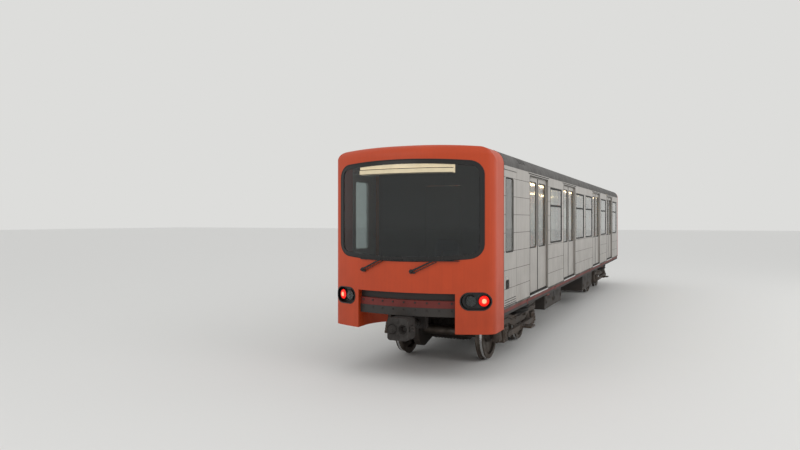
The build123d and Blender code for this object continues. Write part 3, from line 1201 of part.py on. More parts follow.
for end, pivot_y in (("front", PIVOTS_Y[0]), ("rear", PIVOTS_Y[1])):
    # Bogie frame: swan-necked side frames, two transoms, a centre plate and the brake units
    with BuildPart() as bogie_frame:
        for side in (-1, 1):
            with BuildSketch(side_plane(side * JOURNAL_X - SIDE_FRAME_W / 2)):
                with BuildLine():
                    Polyline(
                        (pivot_y - FRAME_END, SIDE_FRAME_FOOT_Z),
                        (pivot_y - FRAME_END, SIDE_FRAME_TOP_Z),
                        (pivot_y - NECK_OUT, SIDE_FRAME_TOP_Z),
                        (pivot_y - NECK_IN, FRAME_DROP_TOP_Z),
                        (pivot_y + NECK_IN, FRAME_DROP_TOP_Z),
                        (pivot_y + NECK_OUT, SIDE_FRAME_TOP_Z),
                        (pivot_y + FRAME_END, SIDE_FRAME_TOP_Z),
                        (pivot_y + FRAME_END, SIDE_FRAME_FOOT_Z),
                        (pivot_y + NECK_OUT, SIDE_FRAME_FOOT_Z),
                        (pivot_y + NECK_IN, FRAME_DROP_FOOT_Z),
                        (pivot_y - NECK_IN, FRAME_DROP_FOOT_Z),
                        (pivot_y - NECK_OUT, SIDE_FRAME_FOOT_Z),
                        close=True,
                    )
                make_face()
            extrude(amount=SIDE_FRAME_W)
        for way in (-1, 1):
            with Locations((0, pivot_y + way * TRANSOM_Y, TRANSOM_Z)):
                Box(2 * JOURNAL_X, TRANSOM_W, TRANSOM_H, align=(Align.CENTER, Align.CENTER, Align.MIN))
        with Locations((0, pivot_y, TRANSOM_Z)):
            Box(CENTRE_PLATE_W, 2 * TRANSOM_Y, TRANSOM_H, align=(Align.CENTER, Align.CENTER, Align.MIN))
            Cylinder(PIN_R + HINGE_GAP, 3 * TRANSOM_H, mode=Mode.SUBTRACT)
        # Brake units: a hanger from the transom and a block curved to the tread
        for way in (-1, 1):
            for side in (-1, 1):
                near_y = TRANSOM_Y + TRANSOM_W / 2
                far_y = WHEELBASE / 2 - WHEEL_R + BRAKE_H / 8
                with Locations((side * BRAKE_X, pivot_y + way * (near_y - 2), BRAKE_Z)):
                    Box(
                        BRAKE_W, far_y - near_y + 2, BRAKE_H,
                        align=(Align.CENTER, Align.MIN if way > 0 else Align.MAX, Align.CENTER),
                    )
        for way in (-1, 1):
            with Locations((0, pivot_y + way * WHEELBASE / 2, AXLE_Z)):
                Cylinder(
                    WHEEL_R + BRAKE_GAP, 2 * (BRAKE_X + BRAKE_W),
                    rotation=(0, 90, 0), mode=Mode.SUBTRACT,
                )
    bogie_frame.part.label = f"bogie_frame_{end}"
    export_step(bogie_frame.part, f"parts/bogie_frame_{end}.step")
    # Air springs between the side frames and the bolster
    with BuildPart() as air_springs:
        for side in (-1, 1):
            for foot, height, radius in AIR_SPRING_STACK:
                with Locations((side * JOURNAL_X, pivot_y, FRAME_DROP_TOP_Z + foot)):
                    Cylinder(radius, height, align=(Align.CENTER, Align.CENTER, Align.MIN))
    air_springs.part.label = f"air_springs_{end}"
    export_step(air_springs.part, f"parts/air_springs_{end}.step")

    # Axle boxes with their wings and rubber springs up to the side frames, and the collector shoe
    # on a beam between each pair
    with BuildPart() as axle_boxes:
        for side in (-1, 1):
            for way in (-1, 1):
                axle_y = pivot_y + way * WHEELBASE / 2
                with Locations((side * JOURNAL_X, axle_y, AXLE_Z)):
                    Box(AXLE_BOX_W, AXLE_BOX_L, AXLE_BOX_H)
                with Locations((side * JOURNAL_X, axle_y, WING_Z)):
                    Box(SIDE_FRAME_W, 2 * (SPRING_OFFSET + SPRING_R), WING_T)
                for spring_way in (-1, 1):
                    for turn in range(SPRING_RINGS):
                        ring_z = WING_Z + WING_T / 2 + turn * SPRING_RING_H
                        with Locations((side * JOURNAL_X, axle_y + spring_way * SPRING_OFFSET, ring_z)):
                            Cylinder(
                                SPRING_R - turn * SPRING_STEP, SPRING_RING_H,
                                align=(Align.CENTER, Align.CENTER, Align.MIN),
                            )
                with Locations((side * (JOURNAL_X - AXLE_BOX_W / 2), axle_y, AXLE_Z)):
                    Cylinder(
                        JOURNAL_R + HINGE_GAP, 2 * JOURNAL_DEPTH,
                        rotation=(0, 90, 0), mode=Mode.SUBTRACT,
                    )
            with Locations((side * SHOE_BEAM_X, pivot_y, AXLE_Z)):
                Box(SHOE_BEAM_T, WHEELBASE, SHOE_BEAM_H)
            for arm in (-1, 1):
                with Locations((side * (SHOE_BEAM_X + SHOE_REACH_X) / 2, pivot_y + arm * SHOE_L / 3, AXLE_Z)):
                    Box(SHOE_REACH_X - SHOE_BEAM_X, SHOE_ARM_W, SHOE_ARM_T)
            with Locations((side * (SHOE_REACH_X - SHOE_W / 2), pivot_y, AXLE_Z)):
                Box(SHOE_W, SHOE_L, SHOE_ARM_T)
    axle_boxes.part.label = f"axle_boxes_{end}"
    export_step(axle_boxes.part, f"parts/axle_boxes_{end}.step")

    # Traction motors on the transoms, each with a gear case round its axle
    with BuildPart() as traction_motors:
        for way in (-1, 1):
            motor_y = pivot_y + way * MOTOR_Y
            axle_y = pivot_y + way * WHEELBASE / 2
            gear_x = way * GEAR_X
            with Locations((gear_x - way * (GEAR_W + MOTOR_L) / 2, motor_y, AXLE_Z)):
                Cylinder(MOTOR_R, MOTOR_L + 2, rotation=(0, 90, 0))
                with Locations((0, -way * (MOTOR_Y - TRANSOM_Y - TRANSOM_W / 2) / 2, MOTOR_LUG_Z)):
                    Box(MOTOR_L / 2, MOTOR_Y - TRANSOM_Y - TRANSOM_W / 2, MOTOR_LUG_H)
            with BuildSketch(side_plane(gear_x - GEAR_W / 2)):
                with Locations((motor_y, AXLE_Z)):
                    Circle(PINION_CASE_R)
                with Locations((axle_y, AXLE_Z)):
                    Circle(GEAR_CASE_R)
                make_hull()
            extrude(amount=GEAR_W)
            with Locations((gear_x, axle_y, AXLE_Z)):
                Cylinder(AXLE_R + BEARING_GAP, GEAR_W + 2, rotation=(0, 90, 0), mode=Mode.SUBTRACT)
    traction_motors.part.label = f"traction_motors_{end}"
    export_step(traction_motors.part, f"parts/traction_motors_{end}.step")

    # Wheelsets: one turned profile for the axle and both its wheels
    for way_name, way in (("leading", -1), ("trailing", 1)):
        axle_y = pivot_y + way * WHEELBASE / 2
        with BuildPart() as wheelset:
            with BuildSketch(Plane(origin=(0, axle_y, AXLE_Z), x_dir=(1, 0, 0), z_dir=(0, -1, 0))):
                for side in (-1, 1):
                    with BuildLine():
                        Polyline(*[(side * x, radius) for x, radius in AXLE_PROFILE], close=True)
                    make_face()
                    with BuildLine():
                        Polyline(*[(side * x, radius) for x, radius in WHEEL_PROFILE], close=True)
                    make_face()
            revolve(axis=Axis((0, axle_y, AXLE_Z), (1, 0, 0)))
        wheelset.part.label = f"wheelset_{end}_{way_name}"
        export_step(wheelset.part, f"parts/wheelset_{end}_{way_name}.step")
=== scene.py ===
"""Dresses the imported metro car: a finish for each CAD node, and fine pieces made here as surfaces.

Shapes are worked out in millimetres in the CAD's frame (Z up, the cab faces -Y, +X is the car's
left side) and turned to metres when they become a mesh.
"""

import json
import logging
import math
from collections.abc import Iterable
from dataclasses import dataclass
from enum import Enum

import bmesh
import bpy
import numpy as np
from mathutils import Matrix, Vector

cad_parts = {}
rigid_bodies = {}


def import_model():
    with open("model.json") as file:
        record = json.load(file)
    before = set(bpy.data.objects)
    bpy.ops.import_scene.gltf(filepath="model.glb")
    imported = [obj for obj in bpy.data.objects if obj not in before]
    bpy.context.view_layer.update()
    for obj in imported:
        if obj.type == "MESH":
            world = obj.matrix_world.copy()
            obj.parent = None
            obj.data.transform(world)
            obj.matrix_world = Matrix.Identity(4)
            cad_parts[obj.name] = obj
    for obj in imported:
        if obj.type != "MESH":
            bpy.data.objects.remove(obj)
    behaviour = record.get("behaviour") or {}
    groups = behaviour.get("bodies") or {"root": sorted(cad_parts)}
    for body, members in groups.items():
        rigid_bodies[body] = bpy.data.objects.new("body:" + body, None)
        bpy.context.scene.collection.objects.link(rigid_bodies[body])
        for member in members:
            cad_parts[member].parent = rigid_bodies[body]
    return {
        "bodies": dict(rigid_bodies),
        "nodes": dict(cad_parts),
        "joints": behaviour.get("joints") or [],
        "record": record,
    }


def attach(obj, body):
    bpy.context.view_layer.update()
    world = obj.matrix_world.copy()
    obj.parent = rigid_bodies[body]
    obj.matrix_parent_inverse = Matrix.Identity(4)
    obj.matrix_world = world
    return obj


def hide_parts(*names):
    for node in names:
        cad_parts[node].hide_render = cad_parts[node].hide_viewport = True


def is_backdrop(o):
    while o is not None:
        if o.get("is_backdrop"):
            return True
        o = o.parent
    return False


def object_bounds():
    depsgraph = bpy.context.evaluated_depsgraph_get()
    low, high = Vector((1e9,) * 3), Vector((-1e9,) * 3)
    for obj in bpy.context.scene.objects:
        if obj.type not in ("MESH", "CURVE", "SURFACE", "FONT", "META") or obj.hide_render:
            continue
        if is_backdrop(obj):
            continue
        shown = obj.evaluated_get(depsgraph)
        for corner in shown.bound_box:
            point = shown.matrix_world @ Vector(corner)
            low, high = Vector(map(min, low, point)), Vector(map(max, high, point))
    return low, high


logging.basicConfig(level=logging.INFO, format="%(name)s: %(message)s")
log = logging.getLogger("metro_car")

Array = np.ndarray
Socket = bpy.types.NodeSocket
Triple = tuple[float, float, float]

MM = 0.001
WELD = 1e-6
CAR = "car"
SIDES = (("left", 1), ("right", -1))
# Places of the colour sockets on a Mix node
MIX_A, MIX_B, MIX_RESULT = 6, 7, 2
# Pitch of a Wave node's bands at a scale of 1, in metres
WAVE_PITCH = 0.314


# Node graph and colour


def srgb(code: str) -> tuple[float, float, float, float]:
    """Turns an sRGB hex code into a linear colour.

    Args:
        code: Six hex digits.

    Returns:
        Linear red, green, blue and an alpha of 1.
    """
    raw = np.array([int(code[i : i + 2], 16) for i in (0, 2, 4)]) / 255
    linear = np.where(raw <= 0.04045, raw / 12.92, ((raw + 0.055) / 1.055) ** 2.4)
    return (*(float(c) for c in linear), 1.0)


def add_node(
    tree: bpy.types.NodeTree, kind: str, inputs: dict | None = None, **settings: object
) -> bpy.types.Node:
    """Adds one shader node with its settings and links.

    Args:
        tree: Node tree that gets the node.
        kind: Blender's name of the node type, after ShaderNode.
        inputs: Socket name or index to a value or to the output socket linked to it.
        settings: Properties of the node itself.

    Returns:
        The new node.
    """
    node = tree.nodes.new(f"ShaderNode{kind}")
    for key, value in settings.items():
        setattr(node, key, value)
    for key, value in (inputs or {}).items():
        if isinstance(value, Socket):
            tree.links.new(value, node.inputs[key])
        else:
            node.inputs[key].default_value = value
    return node


class Graph:
    """Node graph of one material, its patterns laid on Object coordinates."""

    def __init__(self, name: str) -> None:
        """Starts an empty material of that name."""
        self.material = bpy.data.materials.new(name)
        self.material.use_nodes = True
        self.tree = self.material.node_tree
        self.tree.nodes.clear()
        self.place: Socket = self.add("TexCoord").outputs["Object"]

    def add(self, kind: str, inputs: dict | None = None, **settings: object) -> bpy.types.Node:
        """Adds one node to this graph."""
        return add_node(self.tree, kind, inputs, **settings)

    def noise(
        self, size_mm: float, detail: float, rough: float = 0.5, place: Socket | None = None
    ) -> Socket:
        """Adds cloudy noise.

        Args:
            size_mm: Size of its patches.
            detail: Octaves of finer noise on them.
            rough: Weight of the finer octaves.
            place: Coordinates, where they aren't the object's own.

        Returns:
            The noise, from 0 to 1.
        """
        where = self.place if place is None else place
        inputs = {"Vector": where, "Scale": 1 / (size_mm * MM), "Detail": detail}
        return self.add("TexNoise", {**inputs, "Roughness": rough}).outputs["Fac"]

    def ramp(self, value: Socket, low: float, high: float, first: float, last: float) -> Socket:
        """Maps a value from low and high to first and last."""
        limits = {"From Min": low, "From Max": high, "To Min": first, "To Max": last}
        return self.add("MapRange", {"Value": value, **limits}).outputs[0]

    def math(self, operation: str, a: Socket, b: Socket, clamp: bool = False) -> Socket:
        """Reckons with two values."""
        return self.add("Math", {0: a, 1: b}, operation=operation, use_clamp=clamp).outputs[0]

    def mix(self, share: Socket, first: str, second: str) -> Socket:
        """Mixes two sRGB colours."""
        inputs = {0: share, MIX_A: srgb(first), MIX_B: srgb(second)}
        return self.add("Mix", inputs, data_type="RGBA").outputs[MIX_RESULT]

    def bump(self, height: Socket, depth_mm: float) -> Socket:
        """Turns a height into a normal."""
        inputs = {"Height": height, "Distance": depth_mm * MM, "Strength": 1.0}
        return self.add("Bump", inputs).outputs[0]

    def shaded(self, inputs: dict) -> bpy.types.Material:
        """Ends the graph in a Principled shader and gives the material."""
        shader = self.add("BsdfPrincipled", inputs)
        self.add("OutputMaterial", {"Surface": shader.outputs[0]})
        return self.material


class Metal(Enum):
    """Whether a finish conducts, as the shader's metallic value."""

    BARE = 1.0
    COATED = 0.0


@dataclass(frozen=True)
class Finish:
    """A named material, whose kinds each work out the shader's inputs."""

    name: str

    def inputs(self, graph: Graph) -> dict:
        """Inputs of the shader, drawn on that graph."""
        raise NotImplementedError

    def build(self) -> bpy.types.Material:
        """Builds the material."""
        graph = Graph(self.name)
        return graph.shaded(self.inputs(graph))


@dataclass(frozen=True)
class Coating(Finish):
    """A paint, enamel, moulding or bare metal with its grain, dirt and wear.

    Sizes are real ones in millimetres. The grain is what a finger feels, drawn no finer than 3 mm
    on large panels. Streaks run down as rain leaves them, and the dirt thickens towards the rail.
    """

    colour: str
    roughness: float
    metal: Metal = Metal.COATED
    grain_mm: float = 4.0
    grain_depth_mm: float = 0.04
    mottle_mm: float = 420.0
    mottle: float = 0.10
    dirt: str = "3A332B"
    dirt_share: float = 0.25
    streak_mm: float = 35.0
    streak: float = 0.18
    low_z: float = 0.6
    high_z: float = 2.4
    coat: float = 0.0

    def inputs(self, graph: Graph) -> dict:
        """Colour and roughness follow the dirt: base film, rain streaks and a dulled foot."""
        cloud = graph.noise(self.mottle_mm, 5.0, 0.6)
        # Rain streaks: the pattern is squeezed along the car and stretched down it
        across = 1 / (self.streak_mm * MM)
        down = graph.add("Mapping", {"Vector": graph.place, "Scale": (across, across, 0.8)})
        rain = graph.noise(1000, 4.0, place=down.outputs[0])
        height = graph.add("SeparateXYZ", {0: graph.place}).outputs["Z"]
        low = graph.ramp(height, self.low_z, self.high_z, self.dirt_share, 0.0)
        spots = graph.ramp(rain, 0.42, 0.75, 0.0, self.streak)
        base = graph.ramp(cloud, 0.3, 0.75, 0.0, self.mottle)
        foot = graph.math("MULTIPLY", low, cloud)
        dirty = graph.math("ADD", graph.math("ADD", spots, base), foot, clamp=True)
        rougher = min(self.roughness + 0.3, 1.0)
        return {
            "Base Color": graph.mix(dirty, self.colour, self.dirt),
            "Roughness": graph.ramp(dirty, 0.0, 0.6, self.roughness, rougher),
            "Metallic": self.metal.value,
            "Coat Weight": self.coat,
            "Normal": graph.bump(graph.noise(self.grain_mm, 3.0), self.grain_depth_mm),
        }


@dataclass(frozen=True)
class Glazing(Finish):
    """Float glass, tinted in its mass, with a film of dust on its outer face."""

    tint: str
    roughness: float = 0.02
    dust_mm: float = 180.0

    def inputs(self, graph: Graph) -> dict:
        """Clear all through, a little rougher where dust lies."""
        film = graph.noise(self.dust_mm, 6.0, 0.65)
        return {
            "Base Color": srgb(self.tint),
            "Roughness": graph.ramp(film, 0.35, 0.75, self.roughness, self.roughness + 0.05),
            "Transmission Weight": 1.0,
            "IOR": 1.45,
        }


@dataclass(frozen=True)
class Lit(Finish):
    """An opal or coloured moulding with a lamp behind it, slightly uneven over its face."""

    colour: str
    glow: str
    strength: float
    roughness: float = 0.35
    patch_mm: float = 60.0

    def inputs(self, graph: Graph) -> dict:
        """Glow that is a fifth weaker in patches."""
        patch = graph.noise(self.patch_mm, 2.0)
        return {
            "Base Color": srgb(self.colour),
            "Roughness": self.roughness,
            "Emission Color": srgb(self.glow),
            "Emission Strength": graph.ramp(patch, 0.3, 0.7, self.strength * 0.8, self.strength),
        }


@dataclass(frozen=True)
class Weave(Finish):
    """Plain woven wool over foam: warp and weft cross at the thread's spacing, with a soft sheen.

    The real thread is 1.2 mm; it is drawn at 4 mm so that the render shows it.
    """

    warp: str
    weft: str
    thread_mm: float = 4.0
    depth_mm: float = 0.6

    def inputs(self, graph: Graph) -> dict:
        """Warp or weft shows, whichever stands higher."""
        scale = WAVE_PITCH / (self.thread_mm * MM)
        inputs = {"Vector": graph.place, "Scale": scale, "Distortion": 0.6, "Detail": 1.0}
        warp, weft = (
            graph.add("TexWave", inputs, wave_type="BANDS", bands_direction=way).outputs["Fac"]
            for way in ("X", "Z")
        )
        return {
            "Base Color": graph.mix(graph.math("GREATER_THAN", warp, weft), self.warp, self.weft),
            "Roughness": 0.92,
            "Sheen Weight": 0.35,
            "Normal": graph.bump(graph.math("MAXIMUM", warp, weft), self.depth_mm),
        }


FINISHES: dict[str, Finish] = {
    # Sprayed enamel on a glass-fibre mask: smooth, half gloss, its lower half dulled by brake dust
    "orange_paint": Coating(
        "orange_enamel", "C03F06", 0.42, grain_mm=6, grain_depth_mm=0.03, dirt="3A1408",
        dirt_share=0.4, mottle=0.08, streak=0.06, low_z=0.7, high_z=1.9,
    ),
    # Rolled aluminium sheet under silver-grey enamel: satin, streaked by rain and brushes
    "silver_paint": Coating(
        "silver_grey_enamel", "A7A29C", 0.36, grain_mm=5, grain_depth_mm=0.03, dirt="4C4844",
        dirt_share=0.35, streak_mm=60, streak=0.11, low_z=0.95, high_z=2.4, coat=0.1,
    ),
    # Brushed-on grey roof paint: flat, with soot drawn out into streaks
    "roof_grey": Coating(
        "roof_grey_paint", "62605E", 0.6, grain_mm=5, grain_depth_mm=0.08, dirt="2B2825",
        dirt_share=0.3, streak=0.35, mottle=0.3, low_z=3.2, high_z=3.5,
    ),
    # Dark red primer on rolled steel, half hidden under oily dust
    "sole_red": Coating(
        "sole_bar_red_paint", "741F18", 0.5, dirt="2A1A16", dirt_share=0.45, mottle=0.2,
        streak=0.08,
    ),
    # Bitumen paint: black going brown with brake dust towards the rail
    "underframe_black": Coating(
        "underframe_black_paint", "2B2A2A", 0.6, grain_mm=5, grain_depth_mm=0.1, dirt="463B31",
        dirt_share=0.6, mottle=0.3, streak=0.1, low_z=0.2, high_z=1.2,
    ),
    # Sand-cast steel under grey paint: a coarse skin, rusty brown where dust lies
    "bogie_grey": Coating(
        "cast_steel_grey_paint", "403E3C", 0.66, grain_mm=4, grain_depth_mm=0.25, dirt="523F2E",
        dirt_share=0.6, mottle=0.35, streak=0.06, low_z=0.1, high_z=1.1,
    ),
    # Forged and turned steel with a brown film of rust
    "wheel_steel": Coating(
        "forged_wheel_steel", "6E6862", 0.46, Metal.BARE, grain_mm=4, grain_depth_mm=0.12,
        dirt="43342A", dirt_share=0.4, mottle_mm=160, mottle=0.5, streak=0.0, low_z=0.0,
        high_z=1.0,
    ),
    # Extruded neoprene: dull black, a little dusty
    "black_rubber": Coating(
        "black_rubber", "191919", 0.72, grain_mm=3, grain_depth_mm=0.05, mottle=0.12
    ),
    # Laminated glass in the windows, darker in the windscreen, and toughened glass in the doors
    "tinted_glass": Glazing("clear_laminated_window_glass", "D9DDD8"),
    "screen_glass": Glazing("dark_laminated_screen_glass", "A3AEB0"),
    "clear_glass": Glazing("clear_toughened_glass", "EAF0EE"),
    # Injection-moulded black plastic, glossy as the screen's printed border
    "black_trim": Coating(
        "black_gloss_moulding", "0B0B0D", 0.22, grain_depth_mm=0.01, dirt_share=0.2, mottle=0.08,
        streak=0.08,
    ),
    # Extruded alloy, scuffed by shoes and dark with old grease
    "sill_alloy": Coating(
        "worn_alloy_sill", "8C8A86", 0.42, Metal.BARE, grain_depth_mm=0.05, dirt="2A241E",
        mottle=0.5, dirt_share=0.7,
    ),
    # Melamine laminates: even and warm, with a soft gloss
    "lining_orange": Coating("orange_laminate", "C27434", 0.38, streak=0.05, dirt_share=0.1),
    "ceiling_cream": Coating("cream_laminate", "E6DCC6", 0.45, streak=0.04, dirt_share=0.0),
    # Rolled rubber flooring: dull, with worn lighter patches
    "floor_brown": Coating("brown_rubber_floor", "5A4638", 0.6, mottle=0.3, dirt_share=0.2),
    # Hot-pressed polyester seat, its colour in the mass
    "seat_orange": Coating(
        "orange_moulded_seat", "CB5A22", 0.33, streak=0.02, mottle=0.08, dirt_share=0.1
    ),
    # Drawn stainless tube, polished by hands
    "pole_steel": Coating(
        "polished_steel", "CFCFCF", 0.18, Metal.BARE, grain_depth_mm=0.01, mottle=0.05, streak=0.0
    ),
    # Opal acrylic over a tube
    "light_white": Lit("opal_diffuser", "F2EAD8", "FFDFB0", 12.0),
    # Filament's image in the red lens: hot and almost white
    "lamp_core": Lit("hot_lamp_core", "F0A080", "FF8A62", 1.5, 0.12, patch_mm=12),
    # Grey polyurethane in the panels' pressed seams, dusty
    "seam_grey": Coating(
        "grey_seam_sealant", "524E4A", 0.75, grain_mm=3, grain_depth_mm=0.05, mottle=0.12
    ),
    # Cream roller blind, lit evenly from behind by a weak lamp
    "sign_blind": Lit("cream_sign_blind", "E8DCC4", "FFDCB4", 1.9, patch_mm=160),
    # Textured vinyl-skinned moulding of the desk
    "desk_grey": Coating("grey_textured_moulding", "48494C", 0.55, grain_mm=3, grain_depth_mm=0.1),
    # Wool moquette of the driver's seat
    "driver_fabric": Weave("blue_grey_wool_weave", "2B313C", "3C4452"),
    # Pressed glass over the reflectors, and red acrylic lit from within
    "head_lens": Glazing("pressed_lamp_glass", "C4CBCC"),
    "tail_lens": Lit("red_lamp_moulding", "B01008", "FF1A0C", 1.15, 0.12, patch_mm=22),
    # Cast steel under graphite grease
    "coupler_steel": Coating(
        "greased_cast_steel", "3A3633", 0.48, grain_mm=4, grain_depth_mm=0.3, dirt="1C1714",
        mottle=0.5, dirt_share=0.6,
    ),
}

# CAD nodes whose finish differs from that of the other nodes with their slot
OWN_FINISH = {"destination_box": "sign_blind"}


# Shapes


class Look(Enum):
    """Where a seat looks: its directions along, up and out."""

    LEFT = ((0, 1, 0), (0, 0, 1), (1, 0, 0))
    RIGHT = ((0, 1, 0), (0, 0, 1), (-1, 0, 0))
    FRONT = ((1, 0, 0), (0, 0, 1), (0, -1, 0))
    REAR = ((-1, 0, 0), (0, 0, 1), (0, 1, 0))
    LENGTHWISE = ((1, 0, 0), (0, 0, 1), (0, 1, 0))
    UP = ((1, 0, 0), (0, 1, 0), (0, 0, 1))
    DOWN = ((1, 0, 0), (0, 1, 0), (0, 0, -1))
    UP_ALONG = ((0, 1, 0), (1, 0, 0), (0, 0, 1))
    DOWN_ALONG = ((0, 1, 0), (1, 0, 0), (0, 0, -1))


@dataclass(frozen=True)
class Seat:
    """A place on the car, in millimetres, with its own directions along, up and out."""

    place: Triple
    along: Triple
    up: Triple
    out: Triple


def at(x: float, y: float, z: float, look: Look = Look.LEFT) -> Seat:
    """Seat at a place that looks one of the usual ways."""
    return Seat((x, y, z), *look.value)


@dataclass
class Shell:
    """Triples, in millimetres, and faces of one or more closed surfaces."""

    points: Array
    faces: list[Array]

    def copies(self, places: Array) -> "Shell":
        """Repeats the shell at each place: every point plus every place, all at once.

        Args:
            places: Offsets, one row each.

        Returns:
            All the copies as one shell.
        """
        places = np.atleast_2d(np.asarray(places, float))
        points = (places[:, None] + self.points[None]).reshape(-1, 3)
        steps = len(self.points) * np.arange(len(places))[:, None, None]
        faces = [(rows[None] + steps).reshape(-1, rows.shape[1]) for rows in self.faces]
        return Shell(points, faces)

    def flipped(self) -> "Shell":
        """Mirror image of this shell over the car's middle plane."""
        return Shell(self.points * (-1, 1, 1), [rows[:, ::-1] for rows in self.faces])

    def mirrored(self) -> "Shell":
        """This shell with its mirror image."""
        return joined([self, self.flipped()])

    def carried(self, seat: Seat) -> "Shell":
        """Puts local points (a, b, h) at place + a along + b up + h out."""
        axes = np.array([seat.along, seat.up, seat.out])
        return Shell(np.asarray(seat.place) + self.points @ axes, self.faces)


def joined(shells: Iterable[Shell]) -> Shell:
    """Puts several shells into one, their face numbers moved on by the points before them."""
    shells = list(shells)
    starts = np.cumsum([0] + [len(shell.points) for shell in shells])
    faces = [rows + start for shell, start in zip(shells, starts) for rows in shell.faces]
    return Shell(np.vstack([shell.points for shell in shells]), faces)


def cells(index: Array) -> Array:
    """Four-sided faces between neighbouring rows and columns of point numbers."""
    quads = [index[:-1, :-1], index[1:, :-1], index[1:, 1:], index[:-1, 1:]]
    return np.stack(quads, axis=-1).reshape(-1, 4)


def skin(points: Array, loop: bool = False) -> Shell:
    """Joins a stack of closed rings with four-sided faces.

    Args:
        points: Rings by points by three.
        loop: Whether the last ring meets the first.

    Returns:
        The surface.
    """
    index = np.arange(points.shape[0] * points.shape[1]).reshape(points.shape[:2])
    index = np.hstack([index, index[:, :1]])
    if loop:
        index = np.vstack([index, index[:1]])
    return Shell(points.reshape(-1, 3), [cells(index)])


def capped(points: Array) -> Shell:
    """Joins a stack of closed rings and closes both ends flat."""
    shell = skin(points)
    count = points.shape[1]
    first = np.arange(count)[None, ::-1]
    last = len(shell.points) - count + np.arange(count)[None]
    return Shell(shell.points, [*shell.faces, first, last])


def two_sided(front: Array, squash: float) -> Shell:
    """Closes a square grid of points with its own copy, whose heights are multiplied by squash."""
    faces = cells(np.arange(front.shape[0] * front.shape[1]).reshape(front.shape[:2]))
    front = front.reshape(-1, 3)
    back = front * (1, 1, squash)
    return Shell(np.vstack([front, back]), [faces, faces[:, ::-1] + len(front)])


def rounded(width: float, height: float, radius: float, steps: int = 4) -> Array:
    """Outline of a rounded rectangle: a quarter turn about each corner's centre in turn.

    Args:
        width: Size along.
        height: Size up.
        radius: Radius of the corners.
        steps: Triples to a corner.

    Returns:
        Triples of the outline, two numbers each.
    """
    turn = np.linspace(0, np.pi / 2, steps)[None, :] + np.arange(4)[:, None] * np.pi / 2
    inner = (width / 2 - radius, height / 2 - radius)
    centre = np.array([(1, 1), (-1, 1), (-1, -1), (1, -1)]) * inner
    arc = radius * np.stack([np.cos(turn), np.sin(turn)], axis=-1)
    return (centre[:, None] + arc).reshape(-1, 2)


def plate(width: float, height: float, radius: float, rings: tuple, steps: int = 4) -> Shell:
    """Closed plate: a rounded outline drawn in by each ring's inset and lifted by its rise.

    Args:
        width: Size along.
        height: Size up.
        radius: Radius of the corners.
        rings: Rows of inset and rise, from the back to the front.
        steps: Triples to a corner.

    Returns:
        The plate on its seat.
    """
    layers = []
    for inset, rise in rings:
        corner = max(radius - inset, 0.2)
        outline = rounded(width - 2 * inset, height - 2 * inset, corner, steps)
        layers.append(np.column_stack([outline, np.full(4 * steps, float(rise))]))
    return capped(np.stack(layers))


def block(
    width: float, height: float, depth: float, ease: float, radius: float | None = None
) -> Shell:
    """Closed block whose front and back edges are eased by a chamfer."""
    rings = ((ease, 0), (0, ease), (0, depth - ease), (ease, depth))
    return plate(width, height, ease if radius is None else radius, rings, 3)


def turned(profile: tuple, steps: int = 32, loop: bool = False) -> Shell:
    """Turns a profile about the seat's outward line: (r cos t, r sin t, h) for each row.

    Args:
        profile: Rows of height and radius.
        steps: Triples round the turn.
        loop: Whether the profile closes on itself, as for a ring.

    Returns:
        The turned shell.
    """
    rise, radius = np.asarray(profile, float).T
    turn = np.linspace(0, 2 * np.pi, steps, endpoint=False)
    flat = radius[:, None, None] * np.stack([np.cos(turn), np.sin(turn)], axis=-1)
    tall = np.broadcast_to(rise[:, None, None], (len(rise), steps, 1))
    points = np.concatenate([flat, tall], axis=-1)
    return skin(points, loop=True) if loop else capped(points)


def ring(inner: float, outer: float, low: float, high: float, steps: int) -> Shell:
    """Square-edged ring between two radii and two heights on its seat."""
    return turned(((low, inner), (low, outer), (high, outer), (high, inner)), steps, loop=True)


def unit(rows: Array) -> Array:
    """Rows scaled to a length of one."""
    return rows / np.linalg.norm(rows, axis=-1, keepdims=True)


def swept(path: Array, out: Array, profile: Array, loop: bool = False) -> Shell:
    """Carries a profile along a path: point = path + a across + h up, up square to the path.

    The profile is widened at a corner by one over the cosine of half its turn.

    Args:
        path: Triples of the path.
        out: Outward direction, one for the path or one for each point.
        profile: Closed outline, rows of distance across and height.
        loop: Whether the path closes on itself.

    Returns:
        The swept shell.
    """
    path = np.asarray(path, float)
    steps = np.roll(path, -1, axis=0) - path
    after = unit(steps) if loop else unit(np.vstack([steps[:-1], steps[-2:-1]]))
    before = np.roll(after, 1, axis=0) if loop else np.vstack([after[:1], after[:-1]])
    forward = unit(before + after)
    stretch = 1 / np.maximum((forward * after).sum(axis=-1), 0.5)
    across = unit(np.cross(forward, np.broadcast_to(out, path.shape)))
    rise = np.cross(across, forward)
    a, h = np.asarray(profile, float).T
    sideways = (stretch[:, None] * a)[..., None] * across[:, None]
    points = path[:, None] + sideways + h[None, :, None] * rise[:, None]
    return skin(points, loop=True) if loop else capped(points)


def framed(outline: Array, profile: Array) -> Shell:
    """Carries a profile round a flat outline on its seat."""
    path = np.column_stack([outline, np.zeros(len(outline))])
    return swept(path, (0, 0, 1), profile, loop=True)


def bead(width: float, height: float, sink: float = 1.0, steps: int = 6) -> Array:
    """Profile of a rubber bead: half an ellipse on a foot sunk into its carrier."""
    turn = np.linspace(0, np.pi, steps)
    arch = np.column_stack([width / 2 * np.cos(turn), height * np.sin(turn)])
    return np.vstack([arch, [(-width / 2, -sink), (width / 2, -sink)]])


